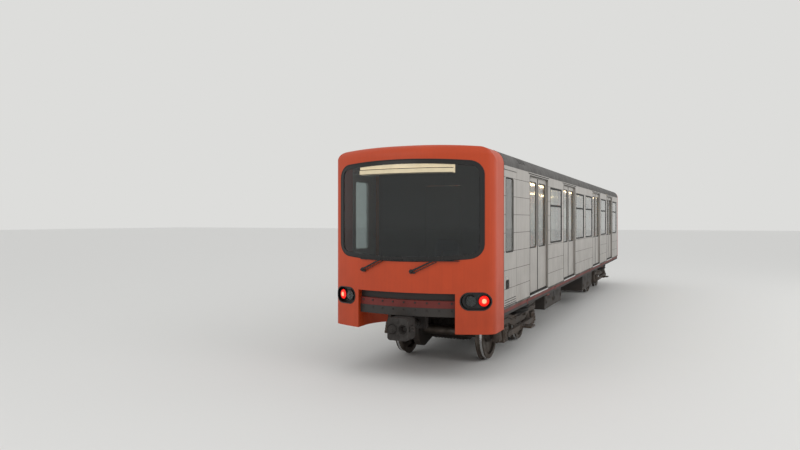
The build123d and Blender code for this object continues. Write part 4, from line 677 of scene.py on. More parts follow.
def bar(width: float, height: float, ease: float, sink: float = 1.0) -> Array:
    """Profile of a flat bar with eased upper edges on a foot sunk into its carrier."""
    half, low = width / 2, height - ease
    upper = [(half, low), (half - ease, height), (ease - half, height), (-half, low)]
    return np.array([(half, -sink), *upper, (-half, -sink)])


def round_bar(radius: float, steps: int = 10) -> Array:
    """Profile of a round bar or tube."""
    turn = np.linspace(0, 2 * np.pi, steps, endpoint=False)
    return radius * np.column_stack([np.cos(turn), np.sin(turn)])


def bolt(radius: float, height: float) -> Shell:
    """Hexagon bolt head with a chamfered top, few faces because it is repeated."""
    turn = np.arange(6) * np.pi / 3
    hexagon = np.column_stack([np.cos(turn), np.sin(turn), 0 * turn])
    rows = ((1.0, 0.0), (1.0, 0.8), (0.8, 1.0))
    return capped(
        np.stack([hexagon * radius * grow + (0, 0, rise * height) for grow, rise in rows])
    )


def round_places(radius: float, count: int, start: float = 0.0) -> Array:
    """Places evenly round a circle on the seat, the first one turned by start."""
    turn = start + 2 * np.pi * np.arange(count) / count
    return np.column_stack([radius * np.cos(turn), radius * np.sin(turn), 0 * turn])


def corners(across: float, up: float, out: float = 0.0) -> list[Triple]:
    """Four places at plus and minus across and up on the seat."""
    return [(s * across, t * up, out) for s in (-1, 1) for t in (-1, 1)]


def in_line(stations: Iterable[float]) -> list[Triple]:
    """Places along Y."""
    return [(0, y, 0) for y in stations]


def bent(turns: tuple, radius: float, steps: int = 5) -> Array:
    """Path of a bent pipe: each corner gives way to (1-t)^2 p + 2t(1-t) corner + t^2 q.

    Args:
        turns: Ends and corners of the run.
        radius: How far from the corner the bend starts.
        steps: Triples to a bend.

    Returns:
        Triples of the path.
    """
    turns = np.asarray(turns, float)
    inner = turns[1:-1]
    start = inner + radius * unit(turns[:-2] - inner)
    end = inner + radius * unit(turns[2:] - inner)
    t = np.linspace(0, 1, steps)[None, :, None]
    bends = (1 - t) ** 2 * start[:, None] + 2 * t * (1 - t) * inner[:, None] + t**2 * end[:, None]
    return np.vstack([turns[:1], bends.reshape(-1, 3), turns[-1:]])


@dataclass(frozen=True)
class BodyShell:
    """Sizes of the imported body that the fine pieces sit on, in millimetres."""

    half_width: float = 1350.0
    face_r: float = 2700.0
    arc_y: float = -6150.0
    corner_r: float = 180.0
    corner_x: float = 1170.0
    corner_y: float = -8381.93
    seam_y: float = -7970.0
    ring_y: float = 8800.0
    rear_y: float = 8900.0
    gutter_z: float = 3300.0
    cantrail_z: float = 3228.0
    floor_z: float = 1068.0
    sill_z: float = 1060.0
    cove_r: float = 235.0
    slope: float = math.radians(4)
    crown_z: float = 3573.8
    doorways_y: tuple[float, ...] = (-5380.0, -2000.0, 2750.0, 6130.0)
    doorway_w: float = 1600.0
    windows_y: tuple[float, ...] = (-3690.0, -420.0, 1170.0, 4440.0, 7725.0)
    window_w: float = 1300.0
    window_foot_z: float = 1948.0
    window_top_z: float = 3103.0
    cab_door_front_y: float = -7962.0
    cab_door_back_y: float = -7177.0
    bays: tuple[tuple[float, float], ...] = (
        (-7169.0, -6180.0), (-4580.0, -2800.0), (-1200.0, 1950.0), (3550.0, 5330.0),
        (6930.0, 8800.0),
    )
    seams_z: tuple[float, ...] = (1338.0, 1633.0, 1928.0, 2223.0, 2518.0, 2813.0, 3108.0)
    seam_w: float = 9.0
    seam_depth: float = 3.2

    def plan(self, x: Array, proud: float = 0.0) -> tuple[Array, Array]:
        """Nose in plan: an arc of face_r between two corner arcs, each grown by proud.

        Args:
            x: Places across the car.
            proud: Distance outside the skin.

        Returns:
            Y of the nose there and the outward directions.
        """
        x = np.asarray(x, float)
        turn = math.atan2(self.arc_y - self.corner_y, self.corner_x)
        wide = np.abs(x) > (self.face_r + proud) * math.cos(turn)
        middle_x = np.where(wide, np.sign(x) * self.corner_x, 0.0)
        middle_y = np.where(wide, self.corner_y, self.arc_y)
        reach = np.where(wide, self.corner_r, self.face_r) + proud
        drop = np.sqrt(np.maximum(reach**2 - (x - middle_x) ** 2, 0.0))
        out = np.stack([(x - middle_x) / reach, -drop / reach, 0 * x], axis=-1)
        return middle_y - drop, out

    def on_face(self, x: Array, z: Array, proud: float = 0.0) -> tuple[Array, Array]:
        """Triples on the nose above places seen from the front, with their outward directions."""
        y, out = self.plan(x, proud)
        return np.stack([np.asarray(x, float), y, np.asarray(z, float) + 0 * y], axis=-1), out

    def face_seat(self, x: float, z: float, proud: float = 0.0) -> Seat:
        """Seat on the nose at one place seen from the front."""
        points, out = self.on_face(np.array([x]), np.array([z]), proud)
        normal = out[0]
        return Seat(tuple(points[0]), (-normal[1], normal[0], 0.0), (0.0, 0.0, 1.0), tuple(normal))

    def arch(self) -> tuple[float, float]:
        """Radius of the roof's arc and the height of its centre."""
        radius = (self.half_width - self.cove_r) / math.sin(self.slope) + self.cove_r
        return radius, self.gutter_z + (self.cove_r - radius) * math.cos(self.slope)

    def section(self, steps: int = 14) -> tuple[Array, Array]:
        """Half the body's section from the sill to the crown: side, cove arc, roof arc.

        Args:
            steps: Triples to an arc.

        Returns:
            Rows of x and z, and the outward directions in that plane.
        """
        turn = np.linspace(0, np.pi / 2 - self.slope, steps)
        cove_out = np.column_stack([np.cos(turn), np.sin(turn)])
        cove = (self.half_width - self.cove_r, self.gutter_z) + self.cove_r * cove_out
        arch_r, arch_z = self.arch()
        lean = np.linspace(self.slope, 0, steps)[1:]
        arch_out = np.column_stack([np.sin(lean), np.cos(lean)])
        side = np.array([(self.half_width, self.sill_z), (self.half_width, self.gutter_z - 1)])
        side_out = np.array([(1.0, 0.0), (1.0, 0.0)])
        rows = np.vstack([side, cove, (0, arch_z) + arch_r * arch_out])
        return rows, np.vstack([side_out, cove_out, arch_out])

    def roof_z(self, x: Array) -> Array:
        """Height of the roof above places across the car, on its arch."""
        arch_r, arch_z = self.arch()
        return arch_z + np.sqrt(arch_r**2 - np.asarray(x, float) ** 2)


BODY = BodyShell()


# Bench: finishes and pieces


class Bench:
    """Builds each finish once, dresses the CAD nodes and turns shells into pieces."""

    def __init__(self) -> None:
        """Starts with nothing built."""
        self.made: dict[str, bpy.types.Material] = {}
        self.count = 0

    def finish(self, slot: str) -> bpy.types.Material:
        """Gives a slot's material, built at its first use.

        Args:
            slot: Name of a slot in FINISHES.

        Returns:
            The material.
        """
        if slot not in self.made:
            self.made[slot] = FINISHES[slot].build()
        return self.made[slot]

    def dress(self, node: bpy.types.Object, slot: str) -> None:
        """Gives a CAD node the finish of its slot."""
        node.data.materials.clear()
        node.data.materials.append(self.finish(OWN_FINISH.get(node.name, slot)))

    def piece(
        self,
        name: str,
        shells: Shell | list[Shell],
        slot: str,
        body: str = CAR,
        stands_for: str | None = None,
        smooth_deg: float = 36.0,
        finish: str | None = None,
    ) -> bpy.types.Object:
        """Args:
            name: Name of the piece.
            shells: Its surfaces, in millimetres.
            slot: Material slot of the record.
            body: CAD body that it rides on.
            stands_for: CAD node that it replaces.
            smooth_deg: Edges that turn less are shaded smooth.
            finish: Its finish, where that isn't the slot's own.

        Returns:
            The new object.
        """
        shell = joined(shells) if isinstance(shells, list) else shells
        mesh = bpy.data.meshes.new(name)
        faces = [row for rows in shell.faces for row in rows.tolist()]
        mesh.from_pydata(shell.points * MM, [], faces)
        work = bmesh.new()
        work.from_mesh(mesh)
        bmesh.ops.remove_doubles(work, verts=work.verts, dist=WELD)
        bmesh.ops.recalc_face_normals(work, faces=work.faces)
        work.to_mesh(mesh)
        work.free()
        mesh.polygons.foreach_set("use_smooth", np.ones(len(mesh.polygons), dtype=bool))
        mesh.set_sharp_from_angle(angle=math.radians(smooth_deg))
        mesh.materials.append(self.finish(finish or slot))
        obj = bpy.data.objects.new(name, mesh)
        bpy.context.scene.collection.objects.link(obj)
        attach(obj, body)
        if stands_for:
            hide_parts(stands_for)
        self.count += 1
        log.info("%s: %d faces on %s", name, len(mesh.polygons), body)
        return obj


# Front of the cab


@dataclass
class Nose:
    """Trim of the curved mask: screen gasket, lamps, wipers, joints and the cut-out's pieces."""

    bench: Bench
    screen_half_w: float = 1210.0
    screen_foot_z: float = 1880.0
    screen_top_z: float = 3295.0
    screen_rise: float = 50.0
    screen_sag: float = 73.0
    screen_r: float = 185.0
    gasket_w: float = 22.0
    lamp_x: float = 1095.0
    lamp_z: float = 1218.0
    lamp_l: float = 440.0
    lamp_h: float = 270.0
    lamp_depth: float = 70.0
    head_x: float = 1008.0
    tail_x: float = 1186.0
    lens_r: float = 86.0
    core_r: float = 46.0
    flute_mm: float = 18.0
    # Four times the reflector's focal length
    bowl_4f: float = 210.0
    pivots_x: tuple[float, float] = (-720.0, 150.0)
    pivot_z: float = 1650.0
    arm_dx: float = 350.0
    arm_dz: float = 170.0
    arm_proud: float = 34.0
    blade_l: float = 760.0
    blade_bow: float = 6.0
    rod_dx: float = 52.0
    rod_dz: float = -16.0
    rod_proud: float = 27.0
    spring_turns: int = 11
    spring_r: float = 5.0
    cutout_half_w: float = 810.0
    headstock_z: float = 1118.0
    headstock_inset: float = 70.0
    # Where the black sheets of painted shade lie: on the apron, and along the headstock's foot
    apron_z: float = 1269.0
    apron_h: float = 117.0
    apron_inset: float = 120.0
    headstock_shade_z: float = 1034.0
    headstock_shade_h: float = 130.0
    sign_z: float = 3179.0
    sign_half_w: float = 785.4
    sign_half_h: float = 36.0
    sign_inset: float = 16.0
    coupler_z: float = 790.0
    coupler_face_y: float = -9010.0
    lever_y: float = -8880.0
    shank_y: float = -8320.0

    def build(self) -> None:
        """Builds every piece of the nose."""
        self.screen_gasket()
        self.lamps()
        self.wipers()
        self.seam_gaskets()
        self.sign()
        self.headstock_shade_and_bolts()
        self.coupler_trim()

    def screen_gasket(self) -> None:
        """Rubber bead where the screen's border meets the mask.

        Outline: a rounded rectangle whose head and foot bow by 1 - (x / half width) squared.
        """
        height = self.screen_top_z - self.screen_foot_z
        outline = rounded(2 * self.screen_half_w, height, self.screen_r, 9)
        # Straight stretches get points too, so that they follow the face
        ends = np.vstack([outline, outline[:1]])
        length = np.concatenate([[0], np.cumsum(np.linalg.norm(np.diff(ends, axis=0), axis=1))])
        along = np.linspace(0, length[-1], 161)[:-1]
        x = np.interp(along, length, ends[:, 0])
        z = np.interp(along, length, ends[:, 1])
        bow = (1 - (x / self.screen_half_w) ** 2) * np.abs(2 * z / height)
        z = z + np.where(z > 0, self.screen_rise, -self.screen_sag) * bow
        path, out = BODY.on_face(x, z + self.screen_foot_z + height / 2)
        shell = swept(path, out, bead(self.gasket_w, 7.0, sink=4.0), loop=True)
        self.bench.piece("windscreen_gasket", shell, "black_rubber")

    def lens(self, radius: float, dome: float, edge: float, flutes: float) -> Shell:
        """Fluted lamp lens on its seat.

        A square grid (s, t) is drawn out to a disc, a = s sqrt(1 - t^2 / 2) and
        b = t sqrt(1 - s^2 / 2). Its front is edge sqrt(1 - r^8) + dome (1 - r^2) + a cosine of
        the flutes' pitch, its back is flat.

        Args:
            radius: Radius of the lens.
            dome: Rise of its middle over its edge.
            edge: Height of its edge.
            flutes: Depth of the flutes.

        Returns:
            The lens.
        """
        side = np.linspace(-1, 1, 53)
        s, t = np.meshgrid(side, side, indexing="ij")
        a, b = s * np.sqrt(1 - t**2 / 2), t * np.sqrt(1 - s**2 / 2)
        r = np.minimum(np.hypot(a, b), 1.0)
        fade = 1 - r**8
        wave = flutes * np.cos(2 * np.pi * a * radius / self.flute_mm) * fade
        front = edge * np.sqrt(fade) + dome * (1 - r**2) + wave
        return two_sided(np.stack([a * radius, b * radius, front], axis=-1), 0.0)

    def lamps(self) -> None:
        """Bezels round the recesses, with a reflector and glass, and a lit red lens, in each."""
        bezels, bowls, glasses, reds, cores, rims = [], [], [], [], [], []
        r = self.lens_r
        stadium = rounded(self.lamp_l - 12, self.lamp_h - 12, self.lamp_h / 2 - 7, 12)
        # Bowl: a dish turned about its middle, r squared over four times the focal length
        dish = np.linspace(4, r - 6, 9)
        inner = np.column_stack([4 + dish**2 / self.bowl_4f, dish])
        outer = np.column_stack([1 + dish[::-1] ** 2 / self.bowl_4f, dish[::-1] + 3])
        bowl = turned(np.vstack([inner, outer]), 40, loop=True)
        glass = self.lens(r - 4, 5.0, 6.0, 0.9).copies((0, 0, 34))
        red = self.lens(r - 6, 9.0, 28.0, 2.6).copies((0, 0, 1))
        core = self.lens(self.core_r, 3.0, 36.5, 1.0).copies((0, 0, 1))
        head_rim = ((0, r - 4), (40, r - 3), (44, r), (42, r + 4), (0, r + 4))
        tail_rim = ((0, r - 5), (26, r - 5), (30, r - 1), (0, r + 3))
        for side in (-1, 1):
            x = side * self.lamp_x + stadium[:, 0]
            path, out = BODY.on_face(x, self.lamp_z + stadium[:, 1])
            bezels.append(swept(path, out, bar(16.0, 6.0, 3.0, sink=3.0), loop=True))
            head = BODY.face_seat(side * self.head_x, self.lamp_z, -self.lamp_depth)
            tail = BODY.face_seat(side * self.tail_x, self.lamp_z, -self.lamp_depth)
            bowls.append(bowl.carried(head))
            glasses.append(glass.carried(head))
            reds.append(red.carried(tail))
            cores.append(core.carried(tail))
            rims.append(turned(head_rim, 40, loop=True).carried(head))
            rims.append(turned(tail_rim, 40, loop=True).carried(tail))
        self.bench.piece("lamp_bezels", bezels, "black_trim")
        self.bench.piece("head_lamp_bowls", bowls, "sill_alloy", stands_for="head_lamps")
        self.bench.piece("head_lamp_glasses", glasses, "head_lens", stands_for="head_lamps")
        self.bench.piece("tail_lamp_lenses", reds, "tail_lens", stands_for="tail_lamps")
        self.bench.piece("tail_lamp_cores", cores, "tail_lens", finish="lamp_core")
        self.bench.piece("lamp_rims", rims, "black_rubber")

    def arm_line(self, x: float, z: float, share: Array, proud: float) -> tuple[Array, Array]:
        """Places on a wiper's arm that starts at (x, z), at shares of its reach over the face."""
        return BODY.on_face(x + share * self.arm_dx, z + share * self.arm_dz, proud)

    def wipers(self) -> None:
        """Wiper spindles, tapered arms with their springs, and blades that follow the glass."""
        arms, caps, rubbers = [], [], []
        proud, z = self.arm_proud, self.pivot_z
        t = np.linspace(0, 1, 14)
        v = np.linspace(-1, 1, 25)
        cap = (
            (0, 0), (0, 34), (6, 34), (10, 30), (14, 22), (proud - 6, 20), (proud + 6, 18),
            (proud + 11, 12), (proud + 11, 0),
        )
        end = turned(((0, 0), (0, 17), (30, 17), (34, 13), (34, 0)), 16)
        carrier, rubber = bar(14.0, 5.0, 2.0, sink=4.0), bar(7.0, 7.0, 1.0, sink=9.0)
        for x in self.pivots_x:
            caps.append(turned(cap, 24).carried(BODY.face_seat(x, z)))
            # Arm: the profile shrinks to seven tenths towards the blade
            path, out = self.arm_line(x, z, t, proud)
            across = unit(np.cross(unit(np.gradient(path, axis=0)), out))
            a, h = bar(30.0, 6.0, 3.0, sink=6.0).T
            shrink = (1 - 0.3 * t)[:, None, None]
            profile = a[:, None] * across[:, None] + h[:, None] * out[:, None]
            arms.append(capped(path[:, None] + shrink * profile))
            # Second rod of the parallelogram, beside the arm
            rod_x, rod_z = x + self.rod_dx, z + self.rod_dz
            path, out = self.arm_line(rod_x, rod_z, t, self.rod_proud)
            arms.append(swept(path, out, round_bar(7, 8)))
            arms.append(end.carried(BODY.face_seat(rod_x, rod_z)))
            # Blade: the carrier bows away at its middle and the rubber's edge touches the glass
            tip_x, tip_z = x + self.arm_dx, z + self.arm_dz
            blade_x = tip_x + v * self.blade_l / 2
            path, out = BODY.on_face(blade_x, np.full(25, tip_z), 22.0)
            arms.append(swept(path + self.blade_bow * (1 - v**2)[:, None] * out, out, carrier))
            path, out = BODY.on_face(blade_x, np.full(25, tip_z), 14.0)
            rubbers.append(swept(path, out, rubber))
            joint = block(46, 20, 14, 3).copies((0, 0, 24))
            arms.append(joint.carried(BODY.face_seat(tip_x, tip_z)))
            # Spring: its wire winds round the line of the arm
            share = np.linspace(0.1, 0.42, 160)
            coil = 2 * np.pi * self.spring_turns * (share - 0.1) / 0.32
            path, out = self.arm_line(x, z, share, proud - 4)
            around = np.cos(coil)[:, None] * out + np.sin(coil)[:, None] * (0, 0, 1)
            arms.append(swept(path + self.spring_r * around, out, round_bar(1.6, 6)))
        self.bench.piece("wiper_arms", arms, "black_trim", stands_for="wipers")
        self.bench.piece("wiper_spindles", caps, "black_trim", stands_for="wipers")
        self.bench.piece("wiper_rubbers", rubbers, "black_rubber", stands_for="wipers")

    def seam_gaskets(self) -> None:
        """Rubber joints of the mask and the end ring with the body, from sill to sill over it.

        They sink below the skin at the crown, which is the top of the car.
        """
        half, out = BODY.section()
        rise = np.minimum(0.0, BODY.crown_z - 2.6 - half[:, 1])
        half = half + out * rise[:, None]
        both = np.vstack([half, half[-2::-1] * (-1, 1)])
        outs = np.vstack([out, out[-2::-1] * (-1, 1)])
        flat = np.zeros(len(both))
        normals = np.column_stack([outs[:, 0], flat, outs[:, 1]])
        for name, y in (("mask_seam_gasket", BODY.seam_y), ("ring_seam_gasket", BODY.ring_y)):
            path = np.column_stack([both[:, 0], flat + y, both[:, 1]])
            shell = swept(path, normals, bead(12.0, 2.5, sink=2.0))
            self.bench.piece(name, shell, "black_rubber")

    def face_bar(self, half_w: float, z: float, inset: float, steps: int, profile: Array) -> Shell:
        """Level bar across the nose at one height, that far behind its skin."""
        x = np.linspace(-half_w, half_w, steps)
        path, out = BODY.on_face(x, np.full(steps, z), -inset)
        return swept(path, out, profile)

    def sign(self) -> None:
        """Dark frame over and under the lit destination box behind the screen's head."""
        frame = [
            self.face_bar(
                self.sign_half_w, self.sign_z + rise, self.sign_inset, 33,
                bar(10.0, 4.0, 2.0, sink=3.0),
            )
            for rise in (-self.sign_half_h, self.sign_half_h)
        ]
        self.bench.piece("sign_frame", frame, "black_trim")

    def headstock_shade_and_bolts(self) -> None:
        """Black sheets in the cut-out, painted shade on the apron and along the headstock's foot,
        and the bolt heads.
        """
        # Both bands are black sheets of painted shade: the dark under the mask's lip and at the
        # headstock's foot
        bands = (
            (self.apron_z, self.apron_h, self.apron_inset),
            (self.headstock_shade_z, self.headstock_shade_h, self.headstock_inset),
        )
        shade_liners = [
            self.face_bar(self.cutout_half_w - 1, z, inset, 41, bar(height, 3.0, 1.0))
            for z, height, inset in bands
        ]
        self.bench.piece("cutout_painted_shade", shade_liners, "underframe_black")
        reach = self.cutout_half_w - 70
        bolts = [
            bolt(15, 11).carried(BODY.face_seat(float(x), z, -self.headstock_inset))
            for x in np.linspace(-reach, reach, 9)
            for z in (self.headstock_z - 55, self.headstock_z + 55)
        ]
        self.bench.piece("headstock_bolts", bolts, "coupler_steel")

    def coupler_trim(self) -> None:
        """Rings, air couplings, latch lever and bolts of the coupler's head, and shank collars."""
        face = at(0.0, self.coupler_face_y, self.coupler_z, Look.FRONT)
        port = ((0, 74), (9, 74), (12, 78), (12, 84), (0, 88))
        valve = ((0, 0), (0, 26), (14, 26), (18, 22), (18, 12), (26, 12), (26, 0))
        head = joined([
            turned(port, 32, loop=True).copies([(-85, 0, 0), (85, 0, 0)]),
            turned(valve, 20).copies([(0, 118, 0), (0, -118, 0)]),
            bolt(11, 9).copies(corners(145, 145)),
        ])
        lever = bent(((0, 0, 22), (0, 0, 60), (-110, 0, 60)), 22)
        latch = joined([block(150, 90, 22, 4), swept(lever, (0, 1, 0), round_bar(10))])
        collar = ring(60, 76, 0, 26, 28)
        collars = collar.copies([(0, 0, 40), (0, 0, 330)])
        fittings = [
            head.carried(face),
            latch.carried(at(170.0, self.lever_y, self.coupler_z)),
            collars.carried(at(0.0, self.shank_y, self.coupler_z, Look.FRONT)),
        ]
        self.bench.piece("coupler_fittings", fittings, "coupler_steel")


# Body sides, doors and roof


def seam_filling(length: float) -> Shell:
    """Sealant that lies in one pressed seam of the panels."""
    return plate(length, BODY.seam_w, 1.0, ((0, 0), (0, 2.6), (1.5, 3.4)), 2)


@dataclass
class BodySides:
    """Fine trim of both side walls, all of it on the car's body."""

    bench: Bench
    frame_w: float = 28.0
    hopper_z: float = 2728.0
    catch_y: float = 420.0
    hood_z: float = 1925.0
    glass_x: float = 1342.0
    tread_x: float = 1152.0
    drip_foot_z: float = 3276.0
    drip_overhang: float = 100.0
    sole_x: float = 1330.0
    sole_foot_z: float = 918.0
    sole_band_h: float = 46.0
    joint_z: float = 973.0
    joints_y: tuple[float, ...] = (-6300.0, -3700.0, -1100.0, 1500.0, 4100.0, 6700.0)
    edge_w: float = 16.0

    def build(self) -> None:
        """Builds the trim of both sides."""
        self.seam_sealant()
        self.doorway_edges()
        self.window_beads()
        self.hopper_fittings()
        self.drip_shadow_strips()
        self.thresholds()
        self.sole_bands()

    def clear_runs(self, z: float) -> list[tuple[float, float]]:
        """Stretches of side panel at a height, between doorways and windows."""
        runs = []
        half = BODY.window_w / 2
        glazed = BODY.window_foot_z < z < BODY.window_top_z
        for front, back in BODY.bays:
            marks = [front]
            for y in BODY.windows_y:
                if glazed and front < y < back:
                    marks += [y - half, y + half]
            marks.append(back)
            runs += [(a, b) for a, b in zip(marks[::2], marks[1::2]) if b - a > 20]
        return runs

    def seam_sealant(self) -> None:
        """Grey sealant lying in the pressed seams of the panels."""
        inside = BODY.half_width - BODY.seam_depth
        strips = [
            seam_filling(back - front - 2).carried(at(inside, (front + back) / 2, z))
            for z in BODY.seams_z
            for front, back in self.clear_runs(z)
        ]
        shells = joined(strips).mirrored()
        self.bench.piece("panel_seam_sealant", shells, "black_rubber", finish="seam_grey")

    def doorway_edges(self) -> None:
        """Rubber edging round each doorway, up one jamb, over the head and down the other."""
        half = BODY.doorway_w / 2 + self.edge_w / 2
        foot, head = BODY.sill_z - BODY.cantrail_z, self.edge_w / 2
        path = bent(((-half, foot, 0), (-half, head, 0), (half, head, 0), (half, foot, 0)), 30, 6)
        strip = swept(path, (0, 0, 1), bead(self.edge_w, 3.0))
        strip = strip.carried(at(BODY.half_width, 0.0, BODY.cantrail_z))
        edges = strip.copies(in_line(BODY.doorways_y)).mirrored()
        self.bench.piece("doorway_edging", edges, "black_rubber")

    def window_beads(self) -> None:
        """Glazing rubber of both panes of each side window."""
        beads = []
        wide = BODY.window_w - 2 * self.frame_w
        foot, top = BODY.window_foot_z + self.frame_w, BODY.window_top_z - self.frame_w
        half = self.frame_w / 2
        for low, high in ((foot, self.hopper_z - half), (self.hopper_z + half, top)):
            strip = framed(rounded(wide, high - low, 20.0, 5), bead(14.0, 5.0, sink=1.0))
            beads.append(strip.carried(at(self.glass_x, 0.0, (low + high) / 2)))
        shells = joined(beads).copies(in_line(BODY.windows_y)).mirrored()
        self.bench.piece("window_beads", shells, "black_rubber")

    def hopper_fittings(self) -> None:
        """Two catches inside on each hopper's bar, and the drain slots' hoods below each window."""
        catch = joined([block(46, 22, 6, 2), block(16, 12, 10, 3)])
        catch = catch.carried(at(BODY.half_width - 24.5, 0.0, self.hopper_z, Look.RIGHT))
        places = in_line(y + s * self.catch_y for y in BODY.windows_y for s in (-1, 1))
        self.bench.piece("hopper_catches", catch.copies(places).mirrored(), "pole_steel")
        hood = plate(60, 10, 4, ((0, 0), (0, 3), (3, 5)), 4)
        hood = hood.carried(at(BODY.half_width, 0.0, self.hood_z))
        self.bench.piece("window_drain_hoods", hood.copies(places).mirrored(), "silver_paint")

    def drip_shadow_strips(self) -> None:
        """Black strips hanging under the drip strips over the doorways: painted shadow under each
        drip.
        """
        length = BODY.doorway_w + 2 * self.drip_overhang
        # Black strip that paints the drip's shadow on the side wall
        shadow_strip = plate(length, 16, 3, ((0, -1), (0, 5.5), (2, 7.5)), 3)
        shadow_strip = shadow_strip.carried(at(BODY.half_width, 0.0, self.drip_foot_z - 6))
        shadow_strips = shadow_strip.copies(in_line(BODY.doorways_y)).mirrored()
        self.bench.piece("drip_shadow_strips", shadow_strips, "black_rubber")

    def thresholds(self) -> None:
        """Ribbed alloy tread plates inside the doorways and a bright nosing along each sill."""
        length = BODY.doorway_w - 20
        tread = plate(length, 190, 4, ((0, -0.5), (0, 2), (1, 3))).copies((0, self.tread_x, 0))
        ribs = plate(length - 30, 6, 2, ((0, 2), (0, 4), (1.5, 5)), 2)
        ribs = ribs.copies([(0, self.tread_x + step, 0) for step in range(-84, 85, 14)])
        floor = joined([tread, ribs]).carried(at(0.0, 0.0, BODY.floor_z, Look.UP_ALONG))
        nosing = block(length, 26, 3.5, 1)
        nosing = nosing.carried(at(BODY.half_width - 0.5, 0.0, BODY.sill_z - 13))
        shells = joined([floor, nosing]).copies(in_line(BODY.doorways_y)).mirrored()
        self.bench.piece("door_thresholds", shells, "pole_steel")

    def sole_bands(self) -> None:
        """Black lower edge of the red sole bars, with the cover plates over their joints."""
        front, back = BODY.seam_y + 6, BODY.rear_y - 6
        band = plate(back - front, self.sole_band_h, 1, ((0, -1), (0, 1.5), (1, 2.5)), 2)
        foot = self.sole_foot_z + self.sole_band_h / 2
        band = band.carried(at(self.sole_x, (front + back) / 2, foot))
        self.bench.piece("sole_bar_bands", band.mirrored(), "underframe_black")
        cover = plate(70, 90, 4, ((0, -1), (0, 3), (1, 4)))
        cover = joined([cover, bolt(7, 5).copies(corners(22, 32, 4))])
        cover = cover.carried(at(self.sole_x, 0.0, self.joint_z))
        covers = cover.copies(in_line(self.joints_y)).mirrored()
        self.bench.piece("sole_bar_joints", covers, "sole_red")


@dataclass
class SlidingDoors:
    """Rubbers, glazing beads and finger guards of the sliding leaves, riding with them."""

    bench: Bench
    leaf_w: float = 812.0
    gap: float = 6.0
    outer_x: float = 1312.0
    inner_x: float = 1278.0
    foot_z: float = 1068.0
    top_z: float = 3220.0
    window_w: float = 640.0
    window_h: float = 1215.0
    window_z: float = 2525.5
    window_r: float = 70.0

    def build(self) -> None:
        """Builds the trim of the four groups of leaves."""
        for side_name, side in SIDES:
            for way_name, way in (("fore", -1), ("aft", 1)):
                middle = way * (self.gap + self.leaf_w) / 2
                shell = self.leaf(way).copies(in_line(y + middle for y in BODY.doorways_y))
                group = f"{side_name}_{way_name}"
                shell = shell if side > 0 else shell.flipped()
                self.bench.piece(f"leaf_rubbers_{group}", shell, "black_rubber", f"doors_{group}")

    def leaf(self, way: int) -> Shell:
        """Rubbers of one leaf, its middle at Y = 0, its meeting edge opposite to way."""
        window = framed(
            rounded(self.window_w, self.window_h, self.window_r, 7), bead(18.0, 2.6)
        )
        strip = ((0, -1), (0, 1.4), (3, 2.6))
        nosing = plate(24, self.top_z - self.foot_z - 8, 3, strip)
        edge_y = -way * (self.leaf_w / 2 - 12)
        sweep = plate(self.leaf_w - 10, 26, 3, strip)
        return joined([
            window.carried(at(self.outer_x, 0.0, self.window_z)),
            window.carried(at(self.inner_x, 0.0, self.window_z, Look.RIGHT)),
            nosing.carried(at(self.outer_x, edge_y, (self.top_z + self.foot_z) / 2)),
            sweep.carried(at(self.outer_x, 0.0, self.foot_z + 14)),
        ])


